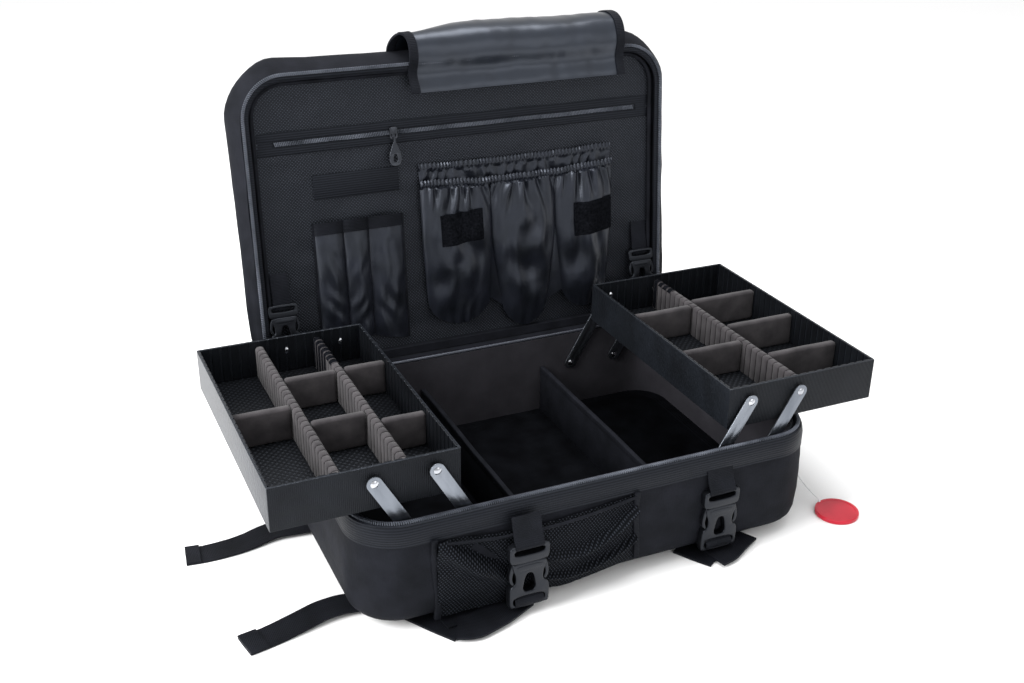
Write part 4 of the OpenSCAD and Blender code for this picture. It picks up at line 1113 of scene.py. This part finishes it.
patchBoxes = [((-0.038, 0.126), (0.014, 0.162)), ((0.132, 0.116), (0.184, 0.156))]
bm = bmesh.new()
for low, high in patchBoxes:                  # each patch lies along the pouch it is sewn to
    def patchShape(s, t, x, u):
        k, inside = slotAt(gather["x"], x)
        foot = gather["low"][k] + gather["round"] * (1 - math.sin(math.pi * inside) ** 0.5)
        share = (u - foot) / (gather["front"] - foot)
        smooth = sum(gatherOut(x + dx, share, u) for dx in (-0.004, 0, 0.004)) / 3
        return x, u + 0.06 * (x - low[0]), liningV + smooth + 0.0022
    addTo(bm, clothGrid(low, high, 16, 12, patchShape, 0.0014))
finishPiece("hookPatches", bm, pileTape, "lid", ["hook_patches"], lidPlace)

print("vinyl flap")
flap = {"x": (-0.064, 0.199), "u": 0.341, "v": -0.0255, "radius": 0.0303, "front": 0.039,
        "back": 0.0042, "foot": 0.0098, "bind": 0.0095, "bow": 0.005, "pinch": 0.5, "tip": 0.016,
        "ease": 0.045, "thick": 0.0011, "bindThick": 0.0026, "wave": 0.0022, "fine": 0.0006,
        "flat": 0.94}


def flapLine(run, r):                         # side view: up the front, over, down to the lid's edge
    if run < flap["front"]:
        bow = flap["bow"] * math.sin(math.pi * run / flap["front"]) ** 2
        return flap["u"] - (flap["front"] - run), flap["v"] + r - bow
    run -= flap["front"]
    if run < math.pi * flap["radius"]:
        a = run / flap["radius"]
        squarish = 1 + 0.05 * math.sin(2 * a) ** 2
        rise = r * squarish * math.sin(a) * flap["flat"]
        return flap["u"] + rise, flap["v"] + r * squarish * math.cos(a)
    run -= math.pi * flap["radius"]
    if run < flap["back"]:
        return flap["u"] - run, flap["v"] - flap["radius"]
    return flap["u"] - flap["back"], flap["v"] - flap["radius"] + run - flap["back"]


def flapShape(s, t, x, u):
    run = t * (flap["front"] + math.pi * flap["radius"] + flap["back"] + flap["foot"])
    wobble = (flap["wave"] * ripple(x, run, 0, 60, 81)
              + flap["fine"] * ripple(x * 2, run, 0, 22, 82))
    up, out = flapLine(run, flap["radius"] + wobble)
    fore = flap["v"] + flap["radius"]
    behind = max(0.0, (fore - out) / (2 * flap["radius"]))
    ease = ridge(x - flap["x"][0], flap["ease"])          # its left end is drawn together
    out = fore + (out - fore) * (1 - flap["pinch"] * ease * min(1, 2 * behind))
    rest = flap["u"] - flap["back"]
    up = min(up, rest + (up - rest) * (1 - 0.4 * ease * behind))
    return x - flap["tip"] * ease * behind, up, out


bm = clothGrid((flap["x"][0] + flap["bind"], 0), (flap["x"][1] - flap["bind"], 1), 60, 90, flapShape,
               flap["thick"])
vinylFlap = finishPiece("vinylFlap", bm, glossVinyl, "flap", ["vinyl_flap"], lidPlace, bend=60)

bm = bmesh.new()
for x0, x1 in ((flap["x"][0], flap["x"][0] + flap["bind"] + 0.0005),
               (flap["x"][1] - flap["bind"] - 0.0005, flap["x"][1])):
    addTo(bm, clothGrid((x0, 0), (x1, 1), 4, 90, flapShape, flap["bindThick"]))
finishPiece("flapBinding", bm, webbingCloth, "flap", ["flap_binding"], lidPlace, bend=60)

print("hinge strip and stays")
bm = cadCopy("hinge_fabric")
hingeStrip = finishPiece("hingeStrip", bm, caseNylon, "base", ["hinge_fabric"], ride=False)
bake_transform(hingeStrip)
stayLow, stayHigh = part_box("stay_roots")
bm = cadCopy("stay_roots")
bmesh.ops.dissolve_limit(bm, angle_limit=0.02, verts=bm.verts, edges=bm.edges)
cutGrid(bm, 2, stayLow.z, stayHigh.z, 0.004)
stayRoots = finishPiece("stayRoots", bm, webbingCloth, "base", ["stay_roots"], ride=False)
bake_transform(stayRoots)
softCopy("stay_straps", "stayStraps", webbingCloth, "lid", 0.0003)
stay = {"x": 0.226, "y": hinge.y - 0.0095, "z": rimZ + 0.0005, "rise": 0.117, "run": 0.0296,
        "buckle": 0.034, "off": 0.004}
lean = Matrix.Rotation(-math.atan(stay["run"] / stay["rise"]), 4, "X")
along = Matrix.Translation((0, stay["off"], stay["buckle"])) @ Matrix.Rotation(math.pi / 2, 4, "X")
finishBuckles("stayBuckle", "stay_buckle", "lid",
              [Matrix.Translation((sx * stay["x"], stay["y"], stay["z"])) @ lean @ along
               for sx in (-1, 1)], Vector((0.034, 0.052, 0.008)))

print("floor and light")
floorMaterial = startMaterial("white_paper_floor", Roughness=0.9, Base_Color=linear("#f7f7f7"))[0]
bm = bmesh.new()
bmesh.ops.create_grid(bm, x_segments=1, y_segments=1, size=20)
floorMesh = bpy.data.meshes.new("floor")
bm.to_mesh(floorMesh)
bm.free()
floorMesh.materials.append(floorMaterial)
floor = bpy.data.objects.new("floor", floorMesh)
bpy.context.scene.collection.objects.link(floor)
floor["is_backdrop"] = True

world = bpy.data.worlds.new("studio")
world.use_nodes = True
world.node_tree.nodes["Background"].inputs["Color"].default_value = (1, 1, 1, 1)
world.node_tree.nodes["Background"].inputs["Strength"].default_value = 0.95
bpy.context.scene.world = world


def softbox(name, place, target, size, power):
    data = bpy.data.lights.new(name, "AREA")
    data.shape = "RECTANGLE"
    data.size, data.size_y = size
    data.energy = power
    lamp = bpy.data.objects.new(name, data)
    bpy.context.scene.collection.objects.link(lamp)
    lamp.location = place
    lamp.rotation_euler = (Vector(target) - Vector(place)).to_track_quat("-Z", "Y").to_euler()


# the left box is the strongest, the top box lights the floor and trays, the front box only fills
softbox("leftBox", (-1.7, -0.1, 1.0), (0, 0, 0.15), (1.1, 1.1), 55)
softbox("topBox", (0.1, 0.2, 2.3), (0, 0, 0.1), (1.6, 1.0), 42)
softbox("frontBox", (0.7, -1.8, 1.0), (0, 0, 0.1), (1.2, 0.8), 4)
bpy.context.scene.view_settings.view_transform = "Standard"

low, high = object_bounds()
